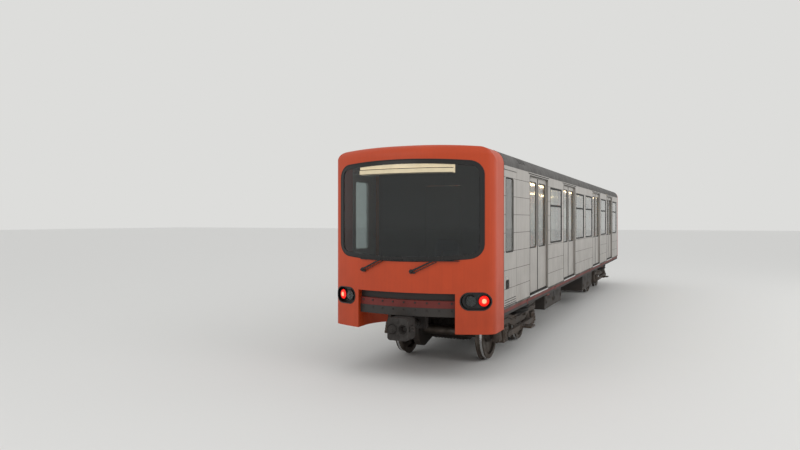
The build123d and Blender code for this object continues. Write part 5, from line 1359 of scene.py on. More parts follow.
@dataclass
class CabDoors:
    """Handles, painted shade of the step slots and the grip's recess, glazing beads, seams and locks
    of the two cab doors.
    """

    bench: Bench
    window_y: float = -7617.5
    window_z: float = 2510.5
    window_w: float = 480.0
    window_h: float = 1185.0
    handle_y: float = -7757.0
    handle_z: float = 1405.0
    handle_l: float = 200.0
    handle_h: float = 140.0
    recess: float = 20.0
    slot_pitch: float = 38.0
    slot_h: float = 12.0
    slots: int = 3
    lock_z: float = 1530.0
    lever_z: float = 1650.0

    def build(self) -> None:
        """Builds both doors' fittings."""
        parts = (
            ("trim", self.trim(), "black_rubber", None),
            ("seams", self.seams(), "black_rubber", "seam_grey"),
            ("locks", self.locks(), "pole_steel", None),
        )
        for side_name, side in SIDES:
            for name, shell, slot, finish in parts:
                shell = shell if side > 0 else shell.flipped()
                body = f"cab_door_{side_name}"
                piece_name = f"cab_door_{name}_{side_name}"
                self.bench.piece(piece_name, shell, slot, body, finish=finish)

    def trim(self) -> Shell:
        """Window bead, black sheets of painted shade in the grip's recess and the step slots, the
        recess's rim, and grip.
        """
        skin_x = BODY.half_width
        middle = (BODY.cab_door_front_y + BODY.cab_door_back_y) / 2
        wide = BODY.cab_door_back_y - BODY.cab_door_front_y
        window = framed(rounded(self.window_w, self.window_h, 50.0, 6), bead(20.0, 3.0))
        # Black sheet at the foot of the grip's recess: painted shade
        recess_shade = plate(self.handle_l - 2, self.handle_h - 2, 28, ((0, -1), (0, 2), (3, 3)))
        rim = framed(rounded(self.handle_l, self.handle_h, 30.0, 6), bead(10.0, 2.2))
        grip = plate(self.handle_l - 4, 36, 8, ((0, -19), (0, 1), (4, 3.5)))
        # Black strips barely sunk into the skin: painted shade of the step slots
        inset = ((0, -3.5), (0, -1), (2, 0.6))
        slot_shade = plate(wide - 2 * self.slot_pitch, self.slot_h + 3, 7, inset)
        slot_shades = slot_shade.copies([(0, self.slot_pitch * (row + 0.5), 0) for row in range(self.slots)])
        return joined([
            window.carried(at(skin_x, self.window_y, self.window_z)),
            recess_shade.carried(at(skin_x - self.recess, self.handle_y, self.handle_z)),
            joined([rim, grip]).carried(at(skin_x, self.handle_y, self.handle_z)),
            slot_shades.carried(at(skin_x, middle, BODY.floor_z)),
        ])

    def seams(self) -> Shell:
        """Sealant in the door's pressed seams, below its window and on either side of it."""
        front, back = BODY.cab_door_front_y, BODY.cab_door_back_y
        reach = self.window_w / 2 + 14
        foot = self.window_z - self.window_h / 2
        low = [z for z in BODY.seams_z if z < foot]
        high = [z for z in BODY.seams_z if z > foot]
        stretches = (
            (front, back, low),
            (front, self.window_y - reach, high),
            (self.window_y + reach, back, high),
        )
        x = BODY.half_width - BODY.seam_depth
        return joined(
            seam_filling(end - start - 4).carried(at(x, (start + end) / 2, z))
            for start, end, rows in stretches
            for z in rows
        )

    def locks(self) -> Shell:
        """Lock outside, and the lever with its plate inside."""
        lock = ((-1, 0), (-1, 22), (3, 22), (5, 18), (5, 8), (2.5, 8), (2.5, 0))
        lever = joined([block(60, 150, 8, 2, 8), block(120, 22, 20, 5, 8).copies((40, 0, 8))])
        inside = at(BODY.half_width - 40, self.handle_y - 60, self.lever_z, Look.RIGHT)
        outside = at(BODY.half_width, self.handle_y - 70, self.lock_z)
        return joined([turned(lock, 24).carried(outside), lever.carried(inside)])


@dataclass
class RoofTrim:
    """Gutter beads along both coves and the pressed ribs of the roof."""

    bench: Bench
    ribs_x: tuple[float, ...] = (520.0, 680.0, 840.0, 1000.0)
    rib_w: float = 34.0
    rib_h: float = 5.0
    rib_end: float = 60.0

    def build(self) -> None:
        """Builds the gutters and the ribs."""
        front, back = BODY.seam_y + 8, BODY.ring_y - 8
        path = np.array([(BODY.half_width, y, BODY.gutter_z) for y in (front, back)])
        gutter = swept(path, (1, 0, 0), bead(14.0, 6.0))
        self.bench.piece("roof_gutters", gutter.mirrored(), "roof_grey")
        y = np.linspace(front + self.rib_end, back - self.rib_end, 24)
        # Each end of a rib slopes down into the skin over its last stretch
        rise = np.clip(np.minimum(y - y[0], y[-1] - y) / self.rib_end, 0, 1) ** 0.5 * self.rib_h
        a, h = bar(self.rib_w, 1.0, 0.5, sink=2.0).T
        a = a * np.where(h > 0.6, 0.6, 1.0)
        lift = np.where(h > 0, h * rise[:, None], h)
        ribs = []
        for x in self.ribs_x:
            rows = np.broadcast_arrays(x + a, y[:, None], float(BODY.roof_z(x)) + lift)
            ribs.append(capped(np.stack(rows, axis=-1)))
        self.bench.piece("roof_ribs", joined(ribs).mirrored(), "roof_grey")


# Saloon and cab


@dataclass
class Saloon:
    """Seats, grips, collars and ceiling fittings of the passenger saloon."""

    bench: Bench
    # Middle and number of seats of each row
    seat_rows: tuple[tuple[float, int], ...] = (
        (-3690.0, 3), (375.0, 5), (4440.0, 3), (7865.0, 3),
    )
    pitch: float = 520.0
    seat_w: float = 500.0
    back_x: float = 1255.7
    seat_depth: float = 430.0
    seat_h: float = 440.0
    back_h: float = 860.0
    shell_t: float = 14.0
    scoop: float = 18.0
    plinth_in: float = 196.0
    pole_x: float = 800.0
    poles_y: tuple[float, ...] = (
        -4535.0, -2845.0, -1155.0, 1905.0, 3595.0, 5285.0, 6975.0, 8755.0,
    )
    # Middle and length of each rail
    rails: tuple[tuple[float, float], ...] = (
        (-3690.0, 1690.0), (375.0, 3060.0), (4440.0, 1690.0), (7865.0, 1780.0),
    )
    rail_z: float = 2980.0
    grip_pitch: float = 420.0
    grip_margin: float = 260.0
    ceiling_z: float = 3278.0
    light_x: float = 640.0
    light_w: float = 130.0
    light_l: float = 1900.0
    lights_y: tuple[float, ...] = (-5900.0, -3800.0, -1700.0, 400.0, 2500.0, 4600.0, 6700.0)
    vents_y: tuple[float, ...] = (-4850.0, -2750.0, -650.0, 1450.0, 3550.0, 5650.0)

    def build(self) -> None:
        """Builds the saloon's pieces."""
        self.seats()
        self.rail_fittings()
        self.ceiling_fittings()

    def seats(self) -> None:
        """Moulded shells on boxed plinths, side by side along the walls."""
        places = in_line(
            y + (place - (count - 1) / 2) * self.pitch
            for y, count in self.seat_rows
            for place in range(count)
        )
        floor, x = BODY.floor_z, self.back_x - self.plinth_in
        box = block(self.seat_w - 60, 330, 190, 10, 14).carried(at(x, 0.0, floor + 166))
        slot = plate(self.seat_w - 180, 12, 5, ((0, -1), (0, 2), (2, 3)))
        slots = slot.copies([(0, z, 0) for z in range(-90, 61, 30)])
        slots = slots.carried(at(x, 0.0, floor + 180, Look.RIGHT))
        for name, shell, slot_name in (
            ("saloon_seat_shells", self.seat_shell(), "seat_orange"),
            ("saloon_seat_plinths", joined([box, slots]), "desk_grey"),
        ):
            smooth = 50.0 if slot_name == "seat_orange" else 36.0
            shells = shell.copies(places).mirrored()
            self.bench.piece(
                name, shells, slot_name, stands_for="saloon_seats", smooth_deg=smooth
            )

    def seat_shell(self) -> Shell:
        """One moulded seat and back.

        Across its width v the shell sinks by scoop (1 - (2v / width)^4) along its own normal, and
        it thins to nothing over the last millimetres of either edge.

        Returns:
            The seat against the left wall, its middle at Y = 0.
        """
        seat_z, back_z = BODY.floor_z + self.seat_h, BODY.floor_z + self.back_h
        front, wall = self.back_x - self.seat_depth, self.back_x
        turns = (
            (front + 6, 0.0, seat_z - 40),
            (front, 0.0, seat_z - 2),
            (wall - 92, 0.0, seat_z - 14),
            (wall - 46, 0.0, back_z - 4),
            (wall - 22, 0.0, back_z - 10),
        )
        path = bent(turns, np.array([[34.0], [110.0], [9.0]]), 8)
        normal = np.cross(np.array([0.0, 1.0, 0.0]), unit(np.gradient(path, axis=0)))
        normal = normal * np.sign(normal[len(path) // 3, 2])
        half = np.array([0.28, 0.55, 0.8, 0.94, 0.985, 1.0])
        v = np.concatenate([-half[::-1], [0.0], half])
        sink = self.scoop * (1 - v**4)
        thick = self.shell_t * np.sqrt(np.clip((1 - np.abs(v)) / 0.04, 0.02, 1))
        top = path[None] - sink[:, None, None] * normal[None]
        under = top - thick[:, None, None] * normal[None]
        outline = np.concatenate([top, under[:, ::-1]], axis=1)
        outline[..., 1] = v[:, None] * self.seat_w / 2
        return capped(outline)

    def rail_fittings(self) -> None:
        """Collars of the poles, hangers of the rails and a row of sprung grips."""
        x = self.pole_x
        collar = turned(
            ((0, 18), (0, 40), (6, 40), (12, 30), (26, 22), (26, 18)), 24, loop=True
        )
        tee = ring(16, 23, -30, 30, 20)
        steel = joined([
            collar.carried(at(x, 0.0, BODY.floor_z, Look.UP)),
            collar.carried(at(x, 0.0, self.ceiling_z, Look.DOWN)),
            tee.carried(at(x, 0.0, self.rail_z, Look.LENGTHWISE)),
        ])
        poles = steel.copies(in_line(self.poles_y)).mirrored()
        self.bench.piece("pole_collars", poles, "pole_steel")
        stem = ring(15, 19, 0, 14, 12)
        turn = np.linspace(0, 2 * np.pi, 13)[:-1]
        loop = np.column_stack([0 * turn, 58 * np.cos(turn), 46 * np.sin(turn)])
        handle = swept(loop, (1, 0, 0), round_bar(7, 6), loop=True)
        grip = joined([
            stem.carried(at(x, -7.0, self.rail_z, Look.LENGTHWISE)),
            block(24, 150, 7, 2).carried(at(x - 3, 0.0, self.rail_z - 90)),
            handle.copies((x, 0.0, self.rail_z - 206)),
        ])
        places = []
        for middle, length in self.rails:
            reach = length / 2 - self.grip_margin
            count = int(length // self.grip_pitch)
            places += in_line(np.linspace(middle - reach, middle + reach, count))
        self.bench.piece("hanging_grips", grip.copies(places).mirrored(), "black_rubber")

    def ceiling_fittings(self) -> None:
        """Rims round the light strips and louvred vents down the middle of the ceiling."""
        outline = rounded(self.light_l + 14, self.light_w + 14, 10, 4)
        rim = framed(outline, bar(14, 8, 3, sink=14))
        rim = rim.carried(at(self.light_x, 0.0, self.ceiling_z - 14, Look.DOWN_ALONG))
        rims = rim.copies(in_line(self.lights_y)).mirrored()
        self.bench.piece("light_strip_rims", rims, "ceiling_cream")
        base = plate(820, 210, 12, ((0, -1), (0, 6), (6, 9)))
        slats = block(760, 7, 6, 2).copies([(0, b, 8) for b in range(-72, 73, 18)])
        vent = joined([base, slats]).carried(at(0.0, 0.0, self.ceiling_z, Look.DOWN_ALONG))
        self.bench.piece("ceiling_vents", vent.copies(in_line(self.vents_y)), "roof_grey")


@dataclass
class Cab:
    """Driver's seat with its cushions, and the instruments and controls on the desk."""

    bench: Bench
    seat_x: float = 250.0
    seat_y: float = -7720.0
    seat_w: float = 460.0
    cushion_t: float = 100.0
    foot_z: float = 1458.0
    back_h: float = 620.0
    desk_z: float = 1768.0
    hood_front_y: float = -8520.0
    hood_back_y: float = -8320.0
    buttons_y: float = -8270.0
    desk_edge_y: float = -8230.0
    desk_half_w: float = 1040.0
    corner_draw: float = 0.16
    voxel_mm: float = 6.0
    swell_mm: float = 7.0
    pressure: float = 4.0
    frames: int = 20
    channel_w: float = 9.0
    channel_mm: float = 7.0

    def build(self) -> None:
        """Builds the seat and the desk's fittings."""
        self.seat()
        self.desk()

    def drawn_in(self, s: Array, t: Array) -> Array:
        """Share of s that is left where the other side's t rounds the corner off."""
        return s * np.sqrt(1 - self.corner_draw * t**4)

    def cushion(self, width: float, height: float, depth: float) -> Shell:
        """Cushion before its filling swells it, a soft box about its middle.

        A grid (s, t) from -1 to 1 gives a = s sqrt(1 - 0.16 t^4) and b likewise, so that its
        corners round off, and a crown ((1 - s^6) (1 - t^6))^0.42 on both faces.

        Args:
            width: Size along.
            height: Size up.
            depth: Thickness out.

        Returns:
            The closed cushion.
        """
        side = np.linspace(-1, 1, 41)
        s, t = np.meshgrid(side, side, indexing="ij")
        a = self.drawn_in(s, t) * width / 2
        b = self.drawn_in(t, s) * height / 2
        crown = ((1 - s**6) * (1 - t**6)) ** 0.42 * depth / 2
        return two_sided(np.stack([a, b, crown], axis=-1), -1.0)

    def swell(self, piece: bpy.types.Object) -> None:
        """Fills a cushion by a cloth simulation under pressure and keeps the result as its mesh.

        Args:
            piece: The cushion, remeshed, blown up and capped at swell_mm from where it began.
        """
        scene = bpy.context.scene
        mesher = piece.modifiers.new("remesh", "REMESH")
        mesher.mode = "VOXEL"
        mesher.voxel_size = self.voxel_mm * MM
        piece.data = self.baked(piece)
        start = self.coordinates(piece.data)
        cloth = piece.modifiers.new("cloth", "CLOTH")
        cloth.settings.use_pressure = True
        cloth.settings.uniform_pressure_force = self.pressure
        cloth.settings.effector_weights.gravity = 0.0
        for frame in range(1, self.frames + 1):
            scene.frame_set(frame)
        blown = self.baked(piece)
        move = self.coordinates(blown) - start
        reach = np.linalg.norm(move, axis=1, keepdims=True)
        move *= np.minimum(1.0, self.swell_mm * MM / np.maximum(reach, 1e-9))
        piece.data.vertices.foreach_set("co", (start + move).ravel())
        scene.frame_set(1)

    @staticmethod
    def baked(piece: bpy.types.Object) -> bpy.types.Mesh:
        """Mesh of a piece with its modifiers applied, which are then taken off."""
        shown = piece.evaluated_get(bpy.context.evaluated_depsgraph_get())
        mesh = bpy.data.meshes.new_from_object(shown)
        piece.modifiers.clear()
        return mesh

    @staticmethod
    def coordinates(mesh: bpy.types.Mesh) -> Array:
        """Vertices of a mesh, one row each, in metres."""
        flat = np.empty(3 * len(mesh.vertices))
        mesh.vertices.foreach_get("co", flat)
        return flat.reshape(-1, 3)

    def stitch(self, piece: bpy.types.Object, seat: Seat, height: float, channels: int) -> None:
        """Sews channels across a cushion's front, each drawn in by a bell exp(-((b - line) / w)^2).

        Args:
            piece: The filled cushion.
            seat: Its seat, whose out is the side sat on.
            height: Size up.
            channels: How many channels.
        """
        mesh, out = piece.data, np.asarray(seat.out)
        points = self.coordinates(mesh)
        local = points / MM - np.asarray(seat.place)
        b, h = local @ np.asarray(seat.up), local @ out
        lines = np.linspace(-0.3, 0.3, channels) * height
        groove = np.exp(-(((b[:, None] - lines) / self.channel_w) ** 2)).sum(axis=1)
        front = np.clip(h / 20, 0, 1)
        points -= (groove * front * self.channel_mm * MM)[:, None] * out
        mesh.vertices.foreach_set("co", points.ravel())
        mesh.polygons.foreach_set("use_smooth", np.ones(len(mesh.polygons), dtype=bool))
        mesh.update()

    def piping(self, width: float, height: float) -> Shell:
        """Corded seam round a cushion of that outline."""
        turn = np.linspace(0, 2 * np.pi, 121)[:-1]
        grow = 1 / np.maximum(np.abs(np.cos(turn)), np.abs(np.sin(turn)))
        s, t = grow * np.cos(turn), grow * np.sin(turn)
        half_w, half_h = width / 2 - 3, height / 2 - 3
        outline = np.column_stack([self.drawn_in(s, t) * half_w, self.drawn_in(t, s) * half_h])
        return framed(outline, round_bar(3.6, 8))

    def seat(self) -> None:
        """Padded seat and back on a turned pedestal with a pan and a bracket."""
        x, y = self.seat_x, self.seat_y
        pan = at(x, y, self.foot_z + self.cushion_t / 2, Look.UP)
        back = at(x, y + 180, self.foot_z + 50 + self.back_h / 2, Look.FRONT)
        seams = []
        for name, seat, height, channels in (
            ("driver_seat_cushion", pan, self.seat_w, 3),
            ("driver_seat_back", back, self.back_h, 5),
        ):
            slack = 2 * self.swell_mm
            body = self.cushion(self.seat_w - slack, height - slack, self.cushion_t - slack)
            piece = self.bench.piece(
                name, body.carried(seat), "driver_fabric", stands_for="driver_seat", smooth_deg=60
            )
            self.swell(piece)
            self.stitch(piece, seat, height, channels)
            seams.append(self.piping(self.seat_w, height).carried(seat))
        self.bench.piece("driver_seat_piping", seams, "black_rubber", stands_for="driver_seat")
        column = (
            (0, 0), (0, 168), (14, 170), (30, 150), (40, 64), (60, 58), (200, 58), (204, 46),
            (330, 46), (336, 90), (372, 110), (384, 110), (384, 0),
        )
        bracket = bent(((0, 150, 380), (0, 232, 380), (0, 232, 470)), 30)
        stand = joined([
            turned(column, 36),
            plate(400, 400, 60, ((6, 380), (0, 386), (0, 398), (14, 404)), 6),
            swept(bracket, (1, 0, 0), bar(90, 10, 3, sink=2)),
        ])
        stand = stand.carried(at(x, y, BODY.floor_z, Look.UP))
        self.bench.piece("driver_seat_stand", stand, "desk_grey", stands_for="driver_seat")

    def desk(self) -> None:
        """Gauges under the hood, a blank screen, buttons, two levers and the desk's edge strip."""
        # The hood falls by 90 mm over 133 mm towards the driver
        slope, fall = unit(np.array([(0.0, 90.0, 133.0), (0.0, -133.0, 90.0)]))
        middle_y = (self.hood_front_y + 67 + self.hood_back_y) / 2
        panel = Seat(
            (self.seat_x, middle_y, self.desk_z + 45), (-1, 0, 0), tuple(fall), tuple(slope)
        )
        rim = turned(((-1, 38), (-1, 46), (7, 46), (10, 42), (10, 38)), 28, loop=True)
        face = turned(((-1, 0), (-1, 39), (3, 39), (3, 0)), 28)
        needle = block(4, 30, 2, 0.5).copies((0, 10, 4))
        spots = [(a, 0, 0) for a in (-270, -160, 160, 270)]
        self.bench.piece("desk_gauge_rims", rim.copies(spots).carried(panel), "pole_steel")
        self.bench.piece("desk_gauge_faces", face.copies(spots).carried(panel), "black_trim")
        screen = plate(168, 84, 6, ((0, -1), (0, 3), (2, 4)))
        glows = joined([needle.copies(spots), screen]).carried(panel)
        self.bench.piece("desk_needles_and_screen", glows, "light_white", finish="sign_blind")
        top = Seat((self.seat_x, self.buttons_y, self.desk_z), (-1, 0, 0), (0, -1, 0), (0, 0, 1))
        button = turned(((-1, 0), (-1, 15), (4, 15), (5, 12), (12, 11), (14, 9), (14, 0)), 16)
        rows = [(a, b, 0) for a in (-330, -290, -250, 250, 290, 330, 370) for b in (-12, 28)]
        knob = turned(((0, 0), (3, 14), (12, 20), (28, 20), (38, 13), (40, 0)), 20)
        stem = bent(((200, 60, 20), (200, 60, 110), (200, 10, 150)), 30)
        lever = joined([
            block(150, 90, 24, 5, 12).copies((200, 60, -1)),
            swept(stem, (1, 0, 0), round_bar(9)),
            knob.copies((200, 8, 140)),
        ])
        controls = joined([button.copies(rows), lever.mirrored()]).carried(top)
        self.bench.piece("desk_controls", controls, "black_trim")
        ends = [
            (x, self.desk_edge_y, self.desk_z - 14) for x in (-self.desk_half_w, self.desk_half_w)
        ]
        edge = swept(ends, (0, 1, 0), bead(30.0, 8.0))
        self.bench.piece("desk_edge_strip", edge, "black_rubber")


# Underframe and bogies


@dataclass
class Underframe:
    """Doors' furniture, louvres, cable trunk and pipes of the gear under the floor."""

    bench: Bench
    # Middle along, middle across, length, width and depth of each case
    cases: tuple[tuple[float, float, float, float, float], ...] = (
        (-3000.0, -700.0, 1900.0, 900.0, 520.0),
        (-3000.0, 700.0, 1900.0, 900.0, 440.0),
        (-600.0, -650.0, 1500.0, 1000.0, 560.0),
        (2200.0, 650.0, 1900.0, 1000.0, 560.0),
        (3500.0, -700.0, 1200.0, 900.0, 480.0),
    )
    top_z: float = 958.0
    margin: float = 50.0
    door_proud: float = 8.0
    tanks: tuple[tuple[float, float], ...] = ((-700.0, 1050.0), (-250.0, 1050.0), (650.0, 150.0))
    tank_z: float = 768.0
    tank_r: float = 170.0
    tank_l: float = 1150.0
    trunk_x: float = 120.0
    trunk_y: float = 100.0
    trunk_z: float = 892.0
    # Place across, height and radius of the two brake pipes along each sole bar
    pipes: tuple[Triple, ...] = ((1196.0, 944.0, 13.0), (1172.0, 912.0, 10.0))
    pipe_half_l: float = 4250.0
    pipe_mid_y: float = 300.0
    unions_y: tuple[float, ...] = (-3300.0, -1500.0, 350.0, 2100.0, 3900.0)

    def build(self) -> None:
        """Builds the underfloor trim."""
        self.case_fittings()
        self.tank_fittings()
        self.runs()

    def case_fittings(self) -> None:
        """Latches, hinges, foot ribs and pressed louvres of the cases' doors."""
        fittings, louvres = [], []
        latch = joined([block(34, 90, 9, 2, 6), block(16, 54, 18, 3, 6)])
        barrel = turned(((-45, 0), (-45, 8), (45, 8), (45, 0)), 10)
        along = Seat((0, 0, 6), (0, 1, 0), (0, 0, 1), (1, 0, 0))
        hinge = joined([block(90, 30, 6, 2, 3), barrel.carried(along)])
        slat = plate(1, 1, 0.1, ((0, 0), (0, 0.5), (0.3, 1)), 2)
        for y, x, length, width, depth in self.cases:
            side = math.copysign(1, x)
            door_l = (length - 3 * self.margin) / 2
            door_h = depth - 2 * self.margin - 40
            middle_z = self.top_z - self.margin - door_h / 2
            place = (x + side * (width / 2 + self.door_proud), y, middle_z)
            face = Seat(place, (0, side, 0), (0, 0, 1), (side, 0, 0))
            blind = Shell(slat.points * (door_l * 0.45, 16, 11), slat.faces)
            for way in (-1, 1):
                middle = way * (door_l + self.margin) / 2
                ends = [(middle + s * (door_l / 2 - 90), 60 - door_h / 2, 0) for s in (-1, 1)]
                heads = [(middle + s * (door_l / 2 - 130), door_h / 2 - 8, 0) for s in (-1, 1)]
                fittings.append(joined([latch.copies(ends), hinge.copies(heads)]).carried(face))
                rows = [(middle, step * 30 + 20, 0) for step in range(-2, 3)]
                louvres.append(blind.copies(rows).carried(face))
            reach = length / 2 - 120
            rib = plate(12, width * 0.86, 4, ((0, -1), (0, 7), (4, 8)))
            ribs = rib.copies([(a, 0, 0) for a in np.linspace(-reach, reach, 5)])
            fittings.append(ribs.carried(at(x, y, self.top_z - depth, Look.DOWN_ALONG)))
        self.bench.piece("case_door_fittings", fittings, "bogie_grey")
        self.bench.piece("case_louvres", louvres, "underframe_black")

    def tank_fittings(self) -> None:
        """Weld beads, end bosses and drain cocks of the air reservoirs."""
        r = self.tank_r
        seam = ((0, r - 2), (3, r + 3), (8, r + 4), (13, r + 3), (16, r - 2))
        weld = turned(seam, 40, loop=True).copies((0, 0, -76))
        boss = (
            (-2, 0), (-2, 34), (10, 34), (14, 26), (26, 26), (26, 14), (46, 14), (46, 0),
        )
        end = joined([turned(boss, 20), weld])
        drain = ((-2, 0), (-2, 18), (16, 18), (16, 9), (44, 9), (48, 14), (56, 14), (56, 0))
        cock = turned(drain, 14)
        parts = []
        for x, y in self.tanks:
            for way in (-1, 1):
                head = (x, y + way * self.tank_l / 2, self.tank_z)
                parts.append(end.carried(Seat(head, (1, 0, 0), (0, 0, 1), (0, way, 0))))
            parts.append(cock.carried(at(x, y, self.tank_z - r, Look.DOWN)))
        self.bench.piece("reservoir_fittings", parts, "bogie_grey")

    def runs(self) -> None:
        """Cable trunk, brake pipes along both sole bars, and the pipes from tank to tank."""
        clips = block(40, 160, 70, 3).copies([(a, 0, -4) for a in range(-3800, 3801, 950)])
        trunk = joined([block(8000, 140, 62, 6), clips])
        trunk = trunk.carried(at(self.trunk_x, self.trunk_y, self.trunk_z, Look.UP_ALONG))
        self.bench.piece("cable_trunk", trunk, "underframe_black")
        pipes = []
        for x, z, r in self.pipes:
            stations = (-self.pipe_half_l, self.pipe_mid_y, self.pipe_half_l)
            path = bent([(x, y, z) for y in stations], 60)
            pipes.append(swept(path, (0, 0, 1), round_bar(r, 12)))
            union = ring(r, r + 6, -26, 26, 6)
            unions = union.copies([(0, 0, y) for y in self.unions_y])
            pipes.append(unions.carried(at(x, 0.0, z, Look.LENGTHWISE)))
        z = self.tank_z
        link = bent(((-700, 1671, z), (-700, 1760, z), (-250, 1760, z), (-250, 1671, z)), 60)
        feed = bent(((650, 771, z), (650, 860, z), (650, 860, 900), (220, 860, 900)), 50)
        # An outward line that neither pipe runs along
        skew = (0.3, 0.2, 0.93)
        links = [swept(path, skew, round_bar(11, 12)) for path in (link, feed)]
        self.bench.piece("brake_pipes", [joined(pipes).mirrored(), *links], "bogie_grey")


@dataclass
class Bogie:
    """Fine pieces of one bogie and of its two wheelsets."""

    bench: Bench
    end: str
    pivot_y: float
    half_base: float = 1050.0
    axle_z: float = 458.0
    frame_x: float = 1000.0
    box_face_x: float = 1095.0
    spring_y: float = 240.0
    spring_foot_z: float = 400.0
    frame_w: float = 130.0
    drop_top_z: float = 700.0
    neck_out: float = 740.0
    frame_end: float = 1380.0
    frame_top_z: float = 765.0
    spring_top_z: float = 905.0
    motor_y: float = 560.0
    motor_r: float = 225.0
    motor_x: float = 60.0
    beam_face_x: float = 1144.0
    damper_y: float = 330.0
    damper_z: float = 668.0

    def build(self) -> None:
        """Builds the bogie's pieces and the wheelsets' bands."""
        self.axle_box_covers()
        self.frame_fittings()
        self.bellows()
        self.motor_bands()
        self.treads()

    @property
    def body(self) -> str:
        """Body that the bogie's pieces ride on."""
        return f"bogie_{self.end}"

    def axle_box_covers(self) -> None:
        """Turned covers with bolts on the axle boxes, spring collars, and the shoes' bolts."""
        dome = (
            (-2, 0), (-2, 104), (10, 104), (14, 99), (14, 72), (24, 62), (24, 30), (20, 26),
            (20, 0),
        )
        cover = joined([
            turned(dome, 40),
            bolt(11, 9).copies(round_places(86, 8, 0.39) + (0, 0, 14)),
            turned(((22, 0), (22, 24), (28, 24), (30, 20), (30, 0)), 24),
        ])
        spring = joined([
            ring(84, 92, 18, 28, 28),
            turned(((-60, 0), (-60, 16), (-34, 16), (-30, 30), (-16, 30), (-16, 0)), 12),
        ])
        parts = []
        for way in (-1, 1):
            y = self.pivot_y + way * self.half_base
            parts.append(cover.carried(at(self.box_face_x, y, self.axle_z)))
            for place in (y - self.spring_y, y + self.spring_y):
                parts.append(spring.carried(at(self.frame_x, place, self.spring_foot_z, Look.UP)))
        heads = [(a, b, 0) for a in (-960, -880, 880, 960) for b in (-22, 22)]
        pads = block(150, 70, 12, 3).copies([(-107, 0, 0), (107, 0, 0)])
        beam = joined([bolt(13, 10).copies(heads), pads])
        parts.append(beam.carried(at(self.beam_face_x, self.pivot_y, self.axle_z)))
        name = f"axle_box_covers_{self.end}"
        self.bench.piece(name, joined(parts).mirrored(), "bogie_grey", self.body)

    def frame_fittings(self) -> None:
        """Clips, damper, bolts and a brake pipe along each side frame."""
        x = self.frame_x + self.frame_w / 2
        high, low = self.frame_top_z - 52, self.drop_top_z - 52
        half = ((500, low), (self.neck_out + 20, high), (self.frame_end - 90, high))
        route = [(x + 14, -y, z) for y, z in half[::-1]] + [(x + 14, y, z) for y, z in half]
        pipe = swept(bent(route, 50), (1, 0, 0), round_bar(9, 10))
        clips = [(-1150, high, -1), (1150, high, -1), (-300, low, -1), (300, low, -1)]
        rows = (self.frame_top_z - 25, self.frame_top_z - 75)
        heads = [(a, z, 0) for a in (-1320, -1260, 1260, 1320) for z in rows]
        on_face = joined([
            block(30, 46, 26, 3).copies(clips),
            bolt(12, 9).copies(heads),
            block(60, 60, 60, 6).copies((self.damper_y, 640, -2)),
        ])
        tube = (
            (0, 0), (0, 22), (24, 22), (24, 40), (150, 40), (150, 24), (176, 24), (176, 16),
            (212, 16), (212, 24), (236, 24), (236, 0),
        )
        damper = turned(tube, 20).carried(at(x + 34, self.damper_y, self.damper_z, Look.UP))
        parts = joined([pipe, on_face.carried(at(x, 0.0, 0.0)), damper])
        shells = parts.copies((0, self.pivot_y, 0)).mirrored()
        self.bench.piece(f"bogie_frame_fittings_{self.end}", shells, "bogie_grey", self.body)

    def bellows(self) -> None:
        """Air springs: a rolled rubber bellows between two beads, in place of the plain stack."""
        turn = np.linspace(-0.5 * np.pi, 0.5 * np.pi, 9)
        height = self.spring_top_z - self.drop_top_z
        rows = [(0.5, 0), (0.5, 176), (22, 190), (34, 188)]
        for middle, thick in ((72.0, 36.0), (142.0, 32.0)):
            rows += [(middle + thick * math.sin(t), 196 + 52.92 * math.cos(t)) for t in turn]
        rows += [(height - 26, 188), (height - 16, 214), (height - 0.5, 214), (height - 0.5, 0)]
        foot = at(self.frame_x, self.pivot_y, self.drop_top_z, Look.UP)
        self.bench.piece(
            f"air_spring_bellows_{self.end}", turned(tuple(rows), 56).carried(foot).mirrored(),
            "black_rubber", self.body, stands_for=f"air_springs_{self.end}", smooth_deg=50,
        )

    def motor_bands(self) -> None:
        """Cooling ribs round the motors."""
        r = self.motor_r
        rib = turned(((-7, r - 2), (-5, r + 9), (5, r + 9), (7, r - 2)), 44, loop=True)
        ribs = rib.copies([(0, 0, h) for h in range(-300, 301, 60)])
        parts = [
            ribs.carried(at(way * self.motor_x, self.pivot_y + way * self.motor_y, self.axle_z))
            for way in (-1, 1)
        ]
        self.bench.piece(f"motor_ribs_{self.end}", parts, "underframe_black", self.body)

    def treads(self) -> None:
        """Bright running bands and turned rings on the wheels, riding with each wheelset."""
        shells = joined([ring(429.2, 430.3, 716, 792, 96), ring(88, 96, 814.5, 819, 48)])
        for way_name, way in (("leading", -1), ("trailing", 1)):
            centre = at(0.0, self.pivot_y + way * self.half_base, self.axle_z)
            wheelset = f"{self.end}_{way_name}"
            self.bench.piece(
                f"running_bands_{wheelset}", shells.carried(centre).mirrored(), "pole_steel",
                f"wheelset_{wheelset}",
            )


# Rear end


